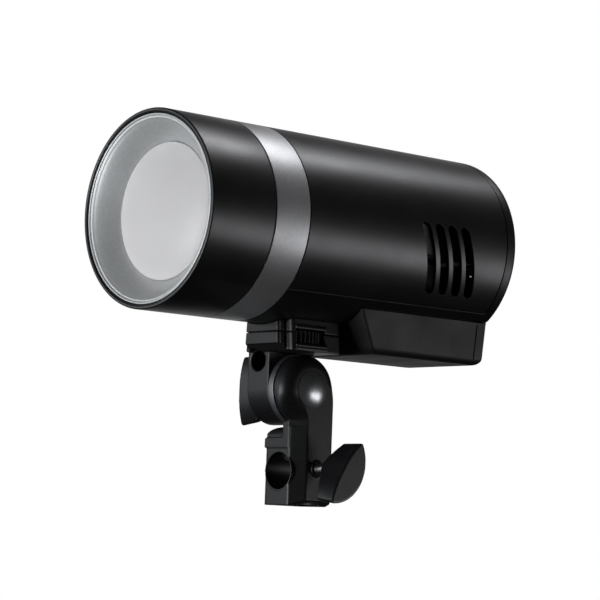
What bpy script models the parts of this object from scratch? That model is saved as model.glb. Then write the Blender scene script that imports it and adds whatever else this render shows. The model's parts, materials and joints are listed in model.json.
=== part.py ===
"""Compact battery monolight strobe on its tilting stand bracket.

Frame: the origin is the centre of the flat seat at the top of the stand socket's upright bore,
where the end of a light stand's stud stops. +Z is up, the light shines towards -Y, and +X is the
side that carries the bracket's arm. Sizes below are millimetres; meshes are built in metres.
Places along the lamp head are counted from its front rim, and heights from the tube's axis.
"""

import math

import bmesh
import bpy
from mathutils import Matrix, Vector

MM = 0.001
GAP = 0.3                     # running gap between neighbouring pieces

# ---- lamp head ----------------------------------------------------------------------------------
HEAD_Z = 91.5                 # height of the tube's axis above the stud's seat
FRONT_Y = -92.4               # the front rim's plane
TUBE_R = 42.5
WALL = 2.0
BARREL_END = 34.5
RING_START = 34.8
RING_END = 53.9
HOUSING_START = 54.2
HOUSING_END = 175.2
BEZEL_END = 182.0
SEAM_DEG = 45.0               # the lower cover spans this much to each side of straight down
LIP_R = 40.2                  # outer edge of the reflector's flange
BOWL_R, BOWL_START = 38.2, 1.2
DOME_R, DOME_SEAT = 29.3, 10.0
FLASH_RING_R, FLASH_GLASS_R, FLASH_Y = 11.4, 2.6, 17.5
LED_R, LED_START, LED_END = 7.0, 21.4, 23.6
BASE_START, BASE_END, BASE_R, BASE_FLANGE_R = 24.0, 33.0, 12.6, 14.4
SINK_R, SINK_START, SINK_END = 30.0, 33.4, 50.0
FIN_GAPS, FIN_PITCH, FIN_GAP = 7, 8.0, 5.6
BULKHEAD_START, BULKHEAD_END, BULKHEAD_BORE_R = 54.6, 57.0, 9.0
BULKHEAD_HOLES, BULKHEAD_HOLE_R, BULKHEAD_HOLE_RING = 4, 8.0, 24.0
COIL_HALF, COIL_START, COIL_END, COIL_LOW, COIL_HIGH = 7.0, 58.5, 70.0, -37.0, -27.0

# ---- capacitors, boards and fan -----------------------------------------------------------------
CAP_R, CAP_RING, CAP_START, CAP_END = 15.6, 19.0, 60.0, 98.0
CAP_TURNS = (90, 210, 330)
CAP_CLAMP_START, CAP_CLAMP_END = 76.0, 79.0
BOARD_HALF, BOARD_START, BOARD_END, BOARD_Z, BOARD_T = 28.0, 126.0, 170.0, -8.0, 1.6
BLOCK_START, COIL_BLOCK_END, COOLER_END = 130.0, 150.0, 160.0
BLOCK_IN, BLOCK_OUT, COIL_BLOCK_TALL, COOLER_TALL = 4.0, 24.0, 18.0, 14.0
COOLER_SLOTS, COOLER_PITCH, COOLER_SLOT = 3, 6.1, 3.2
FAN_Z, FAN_START, FAN_END, FAN_HOLE, FAN_SIDE = 14.0, 110.0, 120.0, 18.6, 40.0
FAN_HUB_R, FAN_BLADES, BLADE_PITCH_DEG = 7.5, 7, 52.0

# ---- side vents ---------------------------------------------------------------------------------
VENT_COUNT = 4
VENT_FIRST = 128.4
VENT_PITCH = 8.15
VENT_WIDTH = 5.3
VENT_TOP_DEG = 7.4
VENT_BOTTOM_DEG = -35.8
VENT_BACK, VENT_LEAN = 5.4, 11.0    # each slot leans back as it goes down

# ---- rear controls ------------------------------------------------------------------------------
PANEL_R = 37.6
PANEL_START = 178.4
PANEL_END = 180.8
DISPLAY_W, DISPLAY_H, DISPLAY_MID = 38.0, 18.0, 21.8
DIAL_R = 11.0
DIAL_END = 190.0
SET_R = 5.6
KEY_W, KEY_H = 9.0, 6.0
KEY_X, KEY_UP, KEY_DOWN = 19.5, 5.2, -4.8
ROUND_KEY_R = 4.0
ROUND_KEY_X, ROUND_KEY_DROP = 30.2, 7.0
KEY_PROUD = 1.6
KEY_CORNER = 1.5
SOCKET_X, SOCKET_DROP, SOCKET_DEEP = 28.0, 18.5, 3.0
SYNC_R, SYNC_MOUTH_R = 3.0, 1.75
USB_W, USB_H, USB_SHELL = 9.0, 3.3, 0.4
SENSOR_Z, SENSOR_R = 34.2, 2.2
CONTROL_START, CONTROL_END = 172.6, 174.2
PRESS = 0.9                   # travel of every button

# ---- battery ------------------------------------------------------------------------------------
PACK_TOP_HALF, PACK_BOTTOM_HALF = 26.0, 24.0
PACK_SHOULDER, PACK_DROP = -34.0, -53.0
PACK_FRONT_TOP, PACK_FRONT_LOW = 101.5, 110.0
PACK_END = 181.0
DECK_HALF, DECK_FRONT, DECK_TOP = 20.6, 105.5, -14.1
PACK_WALL, PACK_FLOOR = 1.5, 1.6
LIP_TOP, LIP_THICK = -31.3, 2.4                      # rear lip that closes the bay
LATCH_HALF, LATCH_LOW, LATCH_HIGH = 8.0, -25.5, -19.5
LID_T = 1.2
BAY_GAP, BAY_WALL, BAY_END, BAY_LOW = 0.6, 1.4, 172.0, -31.0
TERMINAL_X, TERMINAL_HALF, TERMINAL_LOW, TERMINAL_HIGH = 12.0, 5.0, -27.0, -21.0
CELL_R, CELL_LENGTH, CELL_START = 9.15, 65.0, 112.4

# ---- foot, quick-release plate and tilt joint ---------------------------------------------------
FOOT_FRONT, FOOT_WIDE, FOOT_END = 66.6, 71.0, 100.0
TONGUE_HALF, FOOT_HALF = 10.3, 15.0
FOOT_SEAM = -46.1
PLATE_BOTTOM, TONGUE_BOTTOM = -54.0, -51.3
WHEEL_Y, WHEEL_R = 83.5, 14.6
WHEEL_TOP, WHEEL_BOTTOM = -45.1, -50.6
WINDOW_FRONT, WINDOW_END = 73.0, 90.0
TILT_Y, TILT_Z = 88.2, -70.0
KNUCKLE_R = 15.3
KNUCKLE_OUT, KNUCKLE_IN = -14.4, -1.4
WASHER_R = 15.6
UMBRELLA_X, UMBRELLA_Z, UMBRELLA_R = -8.3, -57.9, 4.3
BOLT_R = 3.0
FOOT_CORNER, FOOT_TOP = 2.4, -39.0

# ---- bracket arm and stand clamp ----------------------------------------------------------------
ARM_IN, ARM_OUT = 0.3, 10.4
ARM_FRONT, ARM_BACK = 81.0, 103.8
SOCKET_LEFT = -11.1
SOCKET_TOP = -86.3
BAND_TOP, BAND_LOW, BAND_PROUD = -91.3, -95.5, 0.35
FRONT_CHAMFER, BACK_CHAMFER = 5.6, 3.9
STUD_BORE_R, STUD_BORE_DEPTH = 8.0, 29.0
SOCKET_FLOOR = -STUD_BORE_DEPTH
CROSS_BORE_X, CROSS_BORE_Z, CROSS_BORE_R = -1.8, -14.0, 8.0
CLAMP_Z = -12.9
GRIP_LENGTH, GRIP_FLAT, GRIP_CROWN = 31.0, 5.0, 7.3
GRIP_BOW, GRIP_BLUNT = 2.2, 1.2
TILT_GRIP_IN, TILT_GRIP_OUT = -21.7, -32.4
CLAMP_GRIP_IN, CLAMP_GRIP_OUT = 23.1, 33.8
TILT_GRIP_DEG, CLAMP_GRIP_DEG = 90.0, 57.6
CLAMP_GRIP_SHIFT, GRIP_SOCKET = -3.3, 5.0
SCREW_R, HUB_R = 2.6, 7.4
BLOCK_CORNER = 6.5
FOOT_RISE = 2.8                                        # how far the sloping edge climbs under the arm
DISC_CHAMFER = FRONT_CHAMFER * 0.7
DISC_IN = 2.4                                          # where the arm's round head stands off the washer
CLAMP_BOSS_R, CLAMP_BOSS_OUT = 4.0, 0.8
BORE_RIM, BORE_RIM_PROUD = 1.0, 0.2
MANY_HOLES = ("rear_panel", "front_bulkhead")


def station(y):
    """World y of a place counted from the front rim."""
    return FRONT_Y + y


def level(z):
    """World z of a height counted from the tube's axis."""
    return HEAD_Z + z


# ---- materials ----------------------------------------------------------------------------------
LOOKS = {
    "black_anodised": ((0.022, 0.022, 0.024), 0.42, 0.6),
    "silver_anodised": ((0.62, 0.63, 0.64), 0.32, 1.0),
    "black_plastic": ((0.03, 0.03, 0.032), 0.5, 0.0),
    "grey_plastic": ((0.06, 0.06, 0.064), 0.5, 0.0),
    "cast_black": ((0.018, 0.018, 0.02), 0.55, 0.2),
    "reflector": ((0.78, 0.78, 0.79), 0.24, 1.0),
    "opal": ((0.9, 0.88, 0.87), 0.35, 0.0),
    "clear": ((0.75, 0.8, 0.82), 0.05, 0.0),
    "screen": ((0.05, 0.07, 0.09), 0.15, 0.0),
    "steel": ((0.55, 0.55, 0.56), 0.28, 1.0),
    "circuit": ((0.02, 0.13, 0.06), 0.45, 0.0),
    "ceramic": ((0.8, 0.78, 0.74), 0.6, 0.0),
    "led": ((0.9, 0.75, 0.25), 0.4, 0.0),
    "sleeve_blue": ((0.03, 0.08, 0.25), 0.35, 0.0),
    "red_lens": ((0.25, 0.01, 0.01), 0.1, 0.0),
    "light_grey": ((0.5, 0.5, 0.51), 0.5, 0.0),
    "brass": ((0.7, 0.5, 0.2), 0.3, 1.0),
}


def look(name):
    """The named finish as a Principled material, made once."""
    found = bpy.data.materials.get(name)
    if found:
        return found
    colour, roughness, metallic = LOOKS[name]
    material = bpy.data.materials.new(name)
    material.use_nodes = True
    shader = material.node_tree.nodes["Principled BSDF"]
    shader.inputs["Base Color"].default_value = (*colour, 1.0)
    shader.inputs["Roughness"].default_value = roughness
    shader.inputs["Metallic"].default_value = metallic
    material.diffuse_color = (*colour, 1.0)
    return material


# ---- solids -------------------------------------------------------------------------------------
def place(name, bm, finish, pivot, smooth):
    """Turn a mesh in world millimetres into an object whose origin is its pivot."""
    bmesh.ops.recalc_face_normals(bm, faces=bm.faces)
    bmesh.ops.translate(bm, vec=-Vector(pivot), verts=bm.verts)
    bmesh.ops.scale(bm, vec=(MM, MM, MM), verts=bm.verts)
    mesh = bpy.data.meshes.new(name)
    bm.to_mesh(mesh)
    bm.free()
    if smooth:
        mesh.shade_smooth()
        mesh.set_sharp_from_angle(angle=math.radians(32))
    mesh.materials.append(look(finish))
    obj = bpy.data.objects.new(name, mesh)
    obj.location = Vector(pivot) * MM
    bpy.context.scene.collection.objects.link(obj)
    return obj


def on_axis(axis, across, up, along, centre):
    """World point of (across, up) in the plane square to an axis, at a distance along it."""
    if axis == "X":
        return Vector(centre) + Vector((along, across, up))
    if axis == "Y":
        return Vector(centre) + Vector((across, along, up))
    return Vector(centre) + Vector((across, up, along))


def turned(name, outline, axis, centre, finish, pivot=(0, 0, 0), segments=72):
    """A solid of revolution; its outline is a closed loop of (radius, distance along axis)."""
    bm = bmesh.new()
    rings = []
    for radius, along in outline:
        count = segments if radius else 1
        ring = []
        for step in range(count):
            angle = 2 * math.pi * step / segments
            across, up = radius * math.cos(angle), radius * math.sin(angle)
            ring.append(bm.verts.new(on_axis(axis, across, up, along, centre)))
        rings.append(ring)
    for ring, following in zip(rings, rings[1:] + rings[:1]):
        if len(ring) == len(following) == 1:
            continue
        for step in range(segments):
            after = (step + 1) % segments
            corners = []
            for loop, at in ((ring, step), (ring, after), (following, after), (following, step)):
                vert = loop[at % len(loop)]
                if vert not in corners:
                    corners.append(vert)
            bm.faces.new(corners)
    return place(name, bm, finish, pivot, smooth=True)


def prism(name, outline, axis, low, high, finish, pivot=(0, 0, 0)):
    """An outline pushed along an axis; it is (y, z) for X, (x, z) for Y and (x, y) for Z."""
    bm = bmesh.new()
    origin = (0, 0, 0)
    base = [bm.verts.new(on_axis(axis, a, b, low, origin)) for a, b in outline]
    face = bm.faces.new(base)
    pushed = bmesh.ops.extrude_face_region(bm, geom=[face])
    moved = [item for item in pushed["geom"] if isinstance(item, bmesh.types.BMVert)]
    bmesh.ops.translate(bm, vec=on_axis(axis, 0, 0, high - low, origin), verts=moved)
    return place(name, bm, finish, pivot, smooth=True)


def box(name, low, high, finish, pivot=(0, 0, 0)):
    """A block between two opposite corners."""
    outline = [(low[0], low[1]), (high[0], low[1]), (high[0], high[1]), (low[0], high[1])]
    return prism(name, outline, "Z", low[2], high[2], finish, pivot)


def rod(name, axis, centre, radius, low, high, finish, pivot=(0, 0, 0), segments=32):
    """A round bar along an axis."""
    outline = [(0, low), (radius, low), (radius, high), (0, high)]
    return turned(name, outline, axis, centre, finish, pivot, segments)


def tube(name, axis, centre, inner, outer, low, high, finish, pivot=(0, 0, 0), segments=72):
    """A round sleeve along an axis."""
    outline = [(inner, low), (outer, low), (outer, high), (inner, high)]
    return turned(name, outline, axis, centre, finish, pivot, segments)


def arc(centre, radius, start_deg, end_deg, steps):
    """Points along an arc in a plane, both ends included."""
    points = []
    for step in range(steps + 1):
        angle = math.radians(start_deg + (end_deg - start_deg) * step / steps)
        points.append((centre[0] + radius * math.cos(angle), centre[1] + radius * math.sin(angle)))
    return points


def rounded(width, height, radius, middle=(0, 0), steps=4):
    """Outline of a rectangle with rounded corners."""
    points = []
    for quarter, (side, end) in enumerate(((1, 1), (-1, 1), (-1, -1), (1, -1))):
        corner = (middle[0] + side * (width / 2 - radius), middle[1] + end * (height / 2 - radius))
        points += arc(corner, radius, 90 * quarter, 90 * quarter + 90, steps)
    return points


def sector(inner, outer, start_deg, end_deg, steps):
    """Outline of a slice of a ring round the head's axis, in the plane square to it."""
    middle = (0, HEAD_Z)
    return arc(middle, outer, start_deg, end_deg, steps) + arc(middle, inner, end_deg, start_deg, steps)


# ---- cutting and joining ------------------------------------------------------------------------
def tool(obj):
    """Mark an object as a cutter or a guide, which is no piece of its own."""
    obj.hide_render = True
    obj.display_type = "WIRE"
    return obj


def combine(obj, operation, tools):
    """Add Booleans; plates with many close holes name the manifold solver, which is steadier on them."""
    for other in tools:
        modifier = obj.modifiers.new(other.name, "BOOLEAN")
        modifier.operation = operation
        modifier.solver = "MANIFOLD" if obj.name in MANY_HOLES else "EXACT"
        modifier.object = tool(other)
    return obj


def cut(obj, *tools):
    return combine(obj, "DIFFERENCE", tools)


def join(obj, *tools):
    return combine(obj, "UNION", tools)


HEAD = (0, FRONT_Y, HEAD_Z)
TILT = (0, station(TILT_Y), level(TILT_Z))


# ---- lamp head: shells --------------------------------------------------------------------------
def vent_cutter(name, side, first):
    """A curved blade through the tube's wall that leans back as it runs down the side."""
    steps, reach = 12, 3.0
    bm = bmesh.new()
    loops = []
    for step in range(steps + 1):
        share = step / steps
        angle = math.radians(VENT_BOTTOM_DEG + (VENT_TOP_DEG - VENT_BOTTOM_DEG) * share)
        middle = station(first + VENT_BACK - VENT_LEAN * share)
        loop = []
        for radius, half in ((-1, -1), (-1, 1), (1, 1), (1, -1)):
            r = TUBE_R - WALL / 2 + radius * reach
            x, z = side * r * math.cos(angle), HEAD_Z + r * math.sin(angle)
            loop.append(bm.verts.new((x, middle + half * VENT_WIDTH / 2, z)))
        loops.append(loop)
    for loop, following in zip(loops, loops[1:]):
        for corner in range(4):
            after = (corner + 1) % 4
            bm.faces.new((loop[corner], loop[after], following[after], following[corner]))
    bm.faces.new(loops[0])
    bm.faces.new(loops[-1])
    return place(name, bm, "steel", (0, 0, 0), smooth=False)


def head_shells():
    inner = TUBE_R - WALL
    bezel_in = PANEL_R + GAP
    turned("front_barrel", [
        (inner, 0.7), (inner + 0.7, 0.0), (TUBE_R - 0.4, 0.0), (TUBE_R, 0.4), (TUBE_R, BARREL_END),
        (inner, BARREL_END),
    ], "Y", HEAD, "black_anodised")
    turned("accent_ring", [
        (inner - 1.0, RING_START), (TUBE_R, RING_START), (TUBE_R, RING_END), (inner - 1.0, RING_END),
    ], "Y", HEAD, "silver_anodised")

    around = 360 - 2 * SEAM_DEG
    split = math.degrees(GAP / 2 / TUBE_R)
    start = -90 + SEAM_DEG + split
    outline = sector(inner, TUBE_R, start, start + around - 2 * split, 54)
    housing = prism("main_housing", outline, "Y", station(HOUSING_START), station(HOUSING_END),
                    "black_anodised")
    for side in (1, -1):
        for number in range(VENT_COUNT):
            cut(housing, vent_cutter(f"vent_cutter_{side}_{number}", side, VENT_FIRST + VENT_PITCH * number))

    cover = prism("lower_cover", sector(inner, TUBE_R, -90 - SEAM_DEG + split, -90 + SEAM_DEG - split, 18),
                  "Y", station(HOUSING_START), station(HOUSING_END), "black_plastic")
    opening = PACK_TOP_HALF + GAP
    cut(cover, box("bay_cutter", (-opening, station(PACK_FRONT_TOP - GAP), level(-50)),
                   (opening, station(HOUSING_END + 5), level(-20)), "black_plastic"))

    bezel = turned("rear_bezel", [
        (bezel_in, HOUSING_END + GAP), (TUBE_R, HOUSING_END + GAP), (TUBE_R, BEZEL_END - 3.0),
        (TUBE_R - 0.9, BEZEL_END - 0.9), (TUBE_R - 3.0, BEZEL_END), (bezel_in, BEZEL_END),
    ], "Y", HEAD, "black_plastic")
    cut(bezel, box("bezel_cutter", (-opening, station(HOUSING_END - 2), level(-50)),
                   (opening, station(BEZEL_END + 2), level(-25)), "black_plastic"))


# ---- lamp head: the light source ----------------------------------------------------------------
def light_source():
    turned("reflector_bowl", [
        (LIP_R - 0.5, 0.5), (LIP_R, 0.5), (LIP_R, BOWL_START + 0.6), (DOME_R + 1.6, DOME_SEAT + 0.8),
        (27.0, 20.0), (17.0, 30.0), (14.8, 30.0), (14.8, 28.8), (25.6, 19.4), (DOME_R + 0.6, DOME_SEAT),
        (BOWL_R, BOWL_START),
    ], "Y", HEAD, "reflector", segments=54)
    turned("frosted_dome", [
        (0, 3.6), (13.0, 4.0), (20.0, 5.0), (25.0, 6.6), (28.2, 8.6), (DOME_R, DOME_SEAT),
        (DOME_R - 4.0, 12.4), (DOME_R - 5.6, 12.4), (DOME_R - 3.2, 9.6), (19.0, 7.0), (0, 5.6),
    ], "Y", HEAD, "opal", segments=48)

    facets, steps = 10, 20
    bm = bmesh.new()
    loops = []
    for step in range(steps + 1):
        turn = math.radians(-60 + 300 * step / steps)
        loop = []
        for facet in range(facets):
            angle = 2 * math.pi * facet / facets
            reach = FLASH_RING_R + FLASH_GLASS_R * math.cos(angle)
            along = FLASH_Y + FLASH_GLASS_R * math.sin(angle)
            across, up = reach * math.cos(turn), reach * math.sin(turn)
            loop.append(bm.verts.new(on_axis("Y", across, up, along, HEAD)))
        loops.append(loop)
    for loop, following in zip(loops, loops[1:]):
        for facet in range(facets):
            after = (facet + 1) % facets
            bm.faces.new((loop[facet], loop[after], following[after], following[facet]))
    bm.faces.new(loops[0])
    bm.faces.new(loops[-1])
    place("flash_tube", bm, "clear", (0, 0, 0), smooth=True)

    rod("modeling_led", "Y", HEAD, LED_R, LED_START, LED_END, "led")
    step_y = (BASE_START + BASE_END) / 2
    turned("lamp_base", [
        (0, BASE_START), (BASE_R, BASE_START), (BASE_R, step_y), (BASE_FLANGE_R, step_y),
        (BASE_FLANGE_R, BASE_END), (0, BASE_END),
    ], "Y", HEAD, "ceramic", segments=48)

    sink = rod("lamp_heat_sink", "Y", HEAD, SINK_R, SINK_START, SINK_END, "silver_anodised", segments=32)
    for number in range(FIN_GAPS):
        middle = (number - (FIN_GAPS - 1) / 2) * FIN_PITCH
        low = (middle - FIN_GAP / 2, station(SINK_START + 4), level(-SINK_R - 2))
        high = (middle + FIN_GAP / 2, station(SINK_END + 2), level(SINK_R + 2))
        cut(sink, box(f"fin_cutter_{number}", low, high, "steel"))
    plate = tube("front_bulkhead", "Y", HEAD, BULKHEAD_BORE_R, TUBE_R - WALL - GAP, BULKHEAD_START,
                 BULKHEAD_END, "black_plastic", segments=40)
    for number in range(BULKHEAD_HOLES):
        angle = 2 * math.pi * number / BULKHEAD_HOLES
        across, up = BULKHEAD_HOLE_RING * math.cos(angle), BULKHEAD_HOLE_RING * math.sin(angle)
        centre = on_axis("Y", across, up, 0, HEAD)
        cut(plate, rod(f"bulkhead_cutter_{number}", "Y", centre, BULKHEAD_HOLE_R, BULKHEAD_START - 2,
                       BULKHEAD_END + 2, "steel", segments=12))
    box("trigger_coil", (-COIL_HALF, station(COIL_START), level(COIL_LOW)),
        (COIL_HALF, station(COIL_END), level(COIL_HIGH)), "ceramic")


# ---- lamp head: power ---------------------------------------------------------------------------
def power_section():
    clamp = rod("capacitor_clamp", "Y", HEAD, TUBE_R - WALL - GAP, CAP_CLAMP_START, CAP_CLAMP_END,
                "black_plastic", segments=40)
    for number, turn in enumerate(CAP_TURNS, 1):
        angle = math.radians(turn)
        centre = on_axis("Y", CAP_RING * math.cos(angle), CAP_RING * math.sin(angle), 0, HEAD)
        rod(f"flash_capacitor_{number}", "Y", centre, CAP_R, CAP_START, CAP_END, "sleeve_blue", segments=24)
        cut(clamp, rod(f"clamp_cutter_{number}", "Y", centre, CAP_R + GAP, CAP_CLAMP_START - 2,
                       CAP_CLAMP_END + 2, "steel", segments=24))

    box("power_board", (-BOARD_HALF, station(BOARD_START), level(BOARD_Z)),
        (BOARD_HALF, station(BOARD_END), level(BOARD_Z + BOARD_T)), "circuit")
    top = BOARD_Z + BOARD_T + GAP
    box("charge_transformer", (-BLOCK_OUT, station(BLOCK_START), level(top)),
        (-BLOCK_IN, station(COIL_BLOCK_END), level(top + COIL_BLOCK_TALL)), "brass")
    cooler = box("transistor_heat_sink", (BLOCK_IN, station(BLOCK_START), level(top)),
                 (BLOCK_OUT, station(COOLER_END), level(top + COOLER_TALL)), "silver_anodised")
    for number in range(COOLER_SLOTS):
        middle = (BLOCK_IN + BLOCK_OUT) / 2 + (number - (COOLER_SLOTS - 1) / 2) * COOLER_PITCH
        low = (middle - COOLER_SLOT / 2, station(BLOCK_START - 2), level(top + 3))
        high = (middle + COOLER_SLOT / 2, station(COOLER_END + 2), level(top + COOLER_TALL + 6))
        cut(cooler, box(f"sink_cutter_{number}", low, high, "steel"))


# ---- lamp head: cooling fan ---------------------------------------------------------------------
def cooling_fan():
    centre = (0, FRONT_Y, level(FAN_Z))
    outline = rounded(FAN_SIDE, FAN_SIDE, 3, (0, level(FAN_Z)))
    frame = prism("fan_frame", outline, "Y", station(FAN_START), station(FAN_END), "black_plastic")
    cut(frame, rod("fan_hole_cutter", "Y", centre, FAN_HOLE, FAN_START - 2, FAN_END + 2, "steel",
                   segments=32))
    for turn in (0, 90):
        reach = FAN_HOLE + 0.8
        spoke = box(f"fan_spoke_{turn}", (-reach, -1.0, -1.2), (reach, 1.0, 1.2), "black_plastic")
        spoke.rotation_euler = (0, math.radians(turn), 0)
        spoke.location = Vector((0, station(FAN_END - 1.4), level(FAN_Z))) * MM
        join(frame, spoke)

    tip, root = FAN_HOLE - 0.8, FAN_HUB_R - 2
    half, reach = (tip - root) / 2, (tip + root) / 2
    hub_end = FAN_END - 3.0
    pivot = (0, station((FAN_START + FAN_END) / 2), level(FAN_Z))
    rotor = rod("fan_rotor", "Y", centre, FAN_HUB_R, FAN_START + 0.5, hub_end, "black_plastic", pivot)
    middle = Vector((0, station((FAN_START + 0.5 + hub_end) / 2), level(FAN_Z))) * MM
    for number in range(FAN_BLADES):
        blade = box(f"fan_blade_{number}", (-half, -0.6, -3.6), (half, 0.6, 3.6), "black_plastic")
        spin = Matrix.Rotation(2 * math.pi * number / FAN_BLADES, 4, "Y")
        pitch = Matrix.Rotation(math.radians(BLADE_PITCH_DEG), 4, "X")
        out = Matrix.Translation((reach * MM, 0, 0))
        blade.matrix_world = Matrix.Translation(middle) @ spin @ out @ pitch
        join(rotor, blade)


# ---- lamp head: rear controls -------------------------------------------------------------------
def rear_controls():
    panel = rod("rear_panel", "Y", HEAD, PANEL_R, PANEL_START, PANEL_END, "black_plastic", segments=72)
    through = (station(PANEL_START - 2), station(PANEL_END + 2))
    deck = DECK_HALF + 0.9
    cut(panel, box("panel_bay_cutter", (-deck, through[0], level(-50)),
                   (deck, through[1], level(DECK_TOP + 2.5)), "steel"))

    middle, corner = (0, level(DISPLAY_MID)), 2.0
    opening = rounded(DISPLAY_W + 2 * GAP, DISPLAY_H + 2 * GAP, corner + GAP, middle, 2)
    cut(panel, prism("window_cutter", opening, "Y", *through, "steel"))
    prism("display_window", rounded(DISPLAY_W, DISPLAY_H, corner, middle, 2), "Y", station(PANEL_START + 0.6),
          station(PANEL_END), "clear")
    prism("display_module", rounded(DISPLAY_W - 2, DISPLAY_H - 1, 0.8, middle, 1), "Y",
          station(PANEL_START - 2.2), station(PANEL_START + GAP), "screen")

    turned("select_dial", [
        (SET_R + GAP, PANEL_END + GAP), (DIAL_R, PANEL_END + GAP), (DIAL_R, DIAL_END - 1.0),
        (DIAL_R - 1.0, DIAL_END), (SET_R + 1.2, DIAL_END), (SET_R + GAP, DIAL_END - 0.9),
    ], "Y", HEAD, "black_plastic", (0, station(DIAL_END), HEAD_Z), segments=40)
    cut(panel, rod("set_cutter", "Y", HEAD, SET_R, PANEL_START - 2, PANEL_END + 2, "steel", segments=24))
    rod("set_button", "Y", HEAD, SET_R - GAP, PANEL_START - 0.6, DIAL_END - 0.6, "grey_plastic",
        (0, station(DIAL_END), HEAD_Z), segments=24)

    keys = {
        "mode_button": (-KEY_X, KEY_UP), "menu_button": (-KEY_X, KEY_DOWN),
        "group_button": (KEY_X, KEY_UP), "lamp_button": (KEY_X, KEY_DOWN),
    }
    for name, (x, z) in keys.items():
        middle = (x, level(z))
        opening = rounded(KEY_W + 2 * GAP, KEY_H + 2 * GAP, KEY_CORNER + GAP, middle, 2)
        cut(panel, prism(f"{name}_cutter", opening, "Y", *through, "steel"))
        prism(name, rounded(KEY_W, KEY_H, KEY_CORNER, middle, 2), "Y", station(PANEL_START + 0.2),
              station(PANEL_END + KEY_PROUD), "grey_plastic", (x, station(PANEL_END), level(z)))
    for name, side in (("test_button", -1), ("power_button", 1)):
        centre = (side * ROUND_KEY_X, FRONT_Y, level(-ROUND_KEY_DROP))
        cut(panel, rod(f"{name}_cutter", "Y", centre, ROUND_KEY_R + GAP, PANEL_START - 2, PANEL_END + 2,
                       "steel", segments=20))
        rod(name, "Y", centre, ROUND_KEY_R, PANEL_START + 0.2, PANEL_END + KEY_PROUD, "grey_plastic",
            (centre[0], station(PANEL_END), centre[2]), segments=20)

    sync = (-SOCKET_X, FRONT_Y, level(-SOCKET_DROP))
    inside = PANEL_START - SOCKET_DEEP
    cut(panel, rod("sync_cutter", "Y", sync, SYNC_R + GAP, PANEL_START - 2, PANEL_END + 2, "steel",
                   segments=16))
    tube("sync_socket", "Y", sync, SYNC_MOUTH_R, SYNC_R, inside, PANEL_END, "steel", segments=16)
    usb = (SOCKET_X, level(-SOCKET_DROP))
    usb_corner = USB_H / 2 - 0.05
    cut(panel, prism("usb_cutter", rounded(USB_W + 2 * GAP, USB_H + 2 * GAP, usb_corner + GAP, usb, 3), "Y",
                     *through, "steel"))
    usb_shell = prism("usb_socket", rounded(USB_W, USB_H, usb_corner, usb, 3), "Y", station(inside),
                      station(PANEL_END), "steel")
    mouth = rounded(USB_W - 2 * USB_SHELL, USB_H - 2 * USB_SHELL, usb_corner - USB_SHELL, usb, 3)
    cut(usb_shell, prism("usb_mouth_cutter", mouth, "Y", station(inside + 1), through[1], "steel"))

    lens = (0, FRONT_Y, level(SENSOR_Z))
    cut(panel, rod("lens_cutter", "Y", lens, SENSOR_R + GAP, PANEL_START - 2, PANEL_END + 2, "steel",
                   segments=16))
    rod("sensor_window", "Y", lens, SENSOR_R, PANEL_START + 0.4, PANEL_END, "red_lens", segments=16)

    board = rod("control_board", "Y", HEAD, PANEL_R - 2.0, CONTROL_START, CONTROL_END, "circuit", segments=40)
    opening = DECK_HALF + 3.4
    cut(board, box("board_bay_cutter", (-opening, station(CONTROL_START - 2), level(-50)),
                   (opening, station(CONTROL_END + 2), level(DECK_TOP + 4.5)), "steel"))


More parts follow.
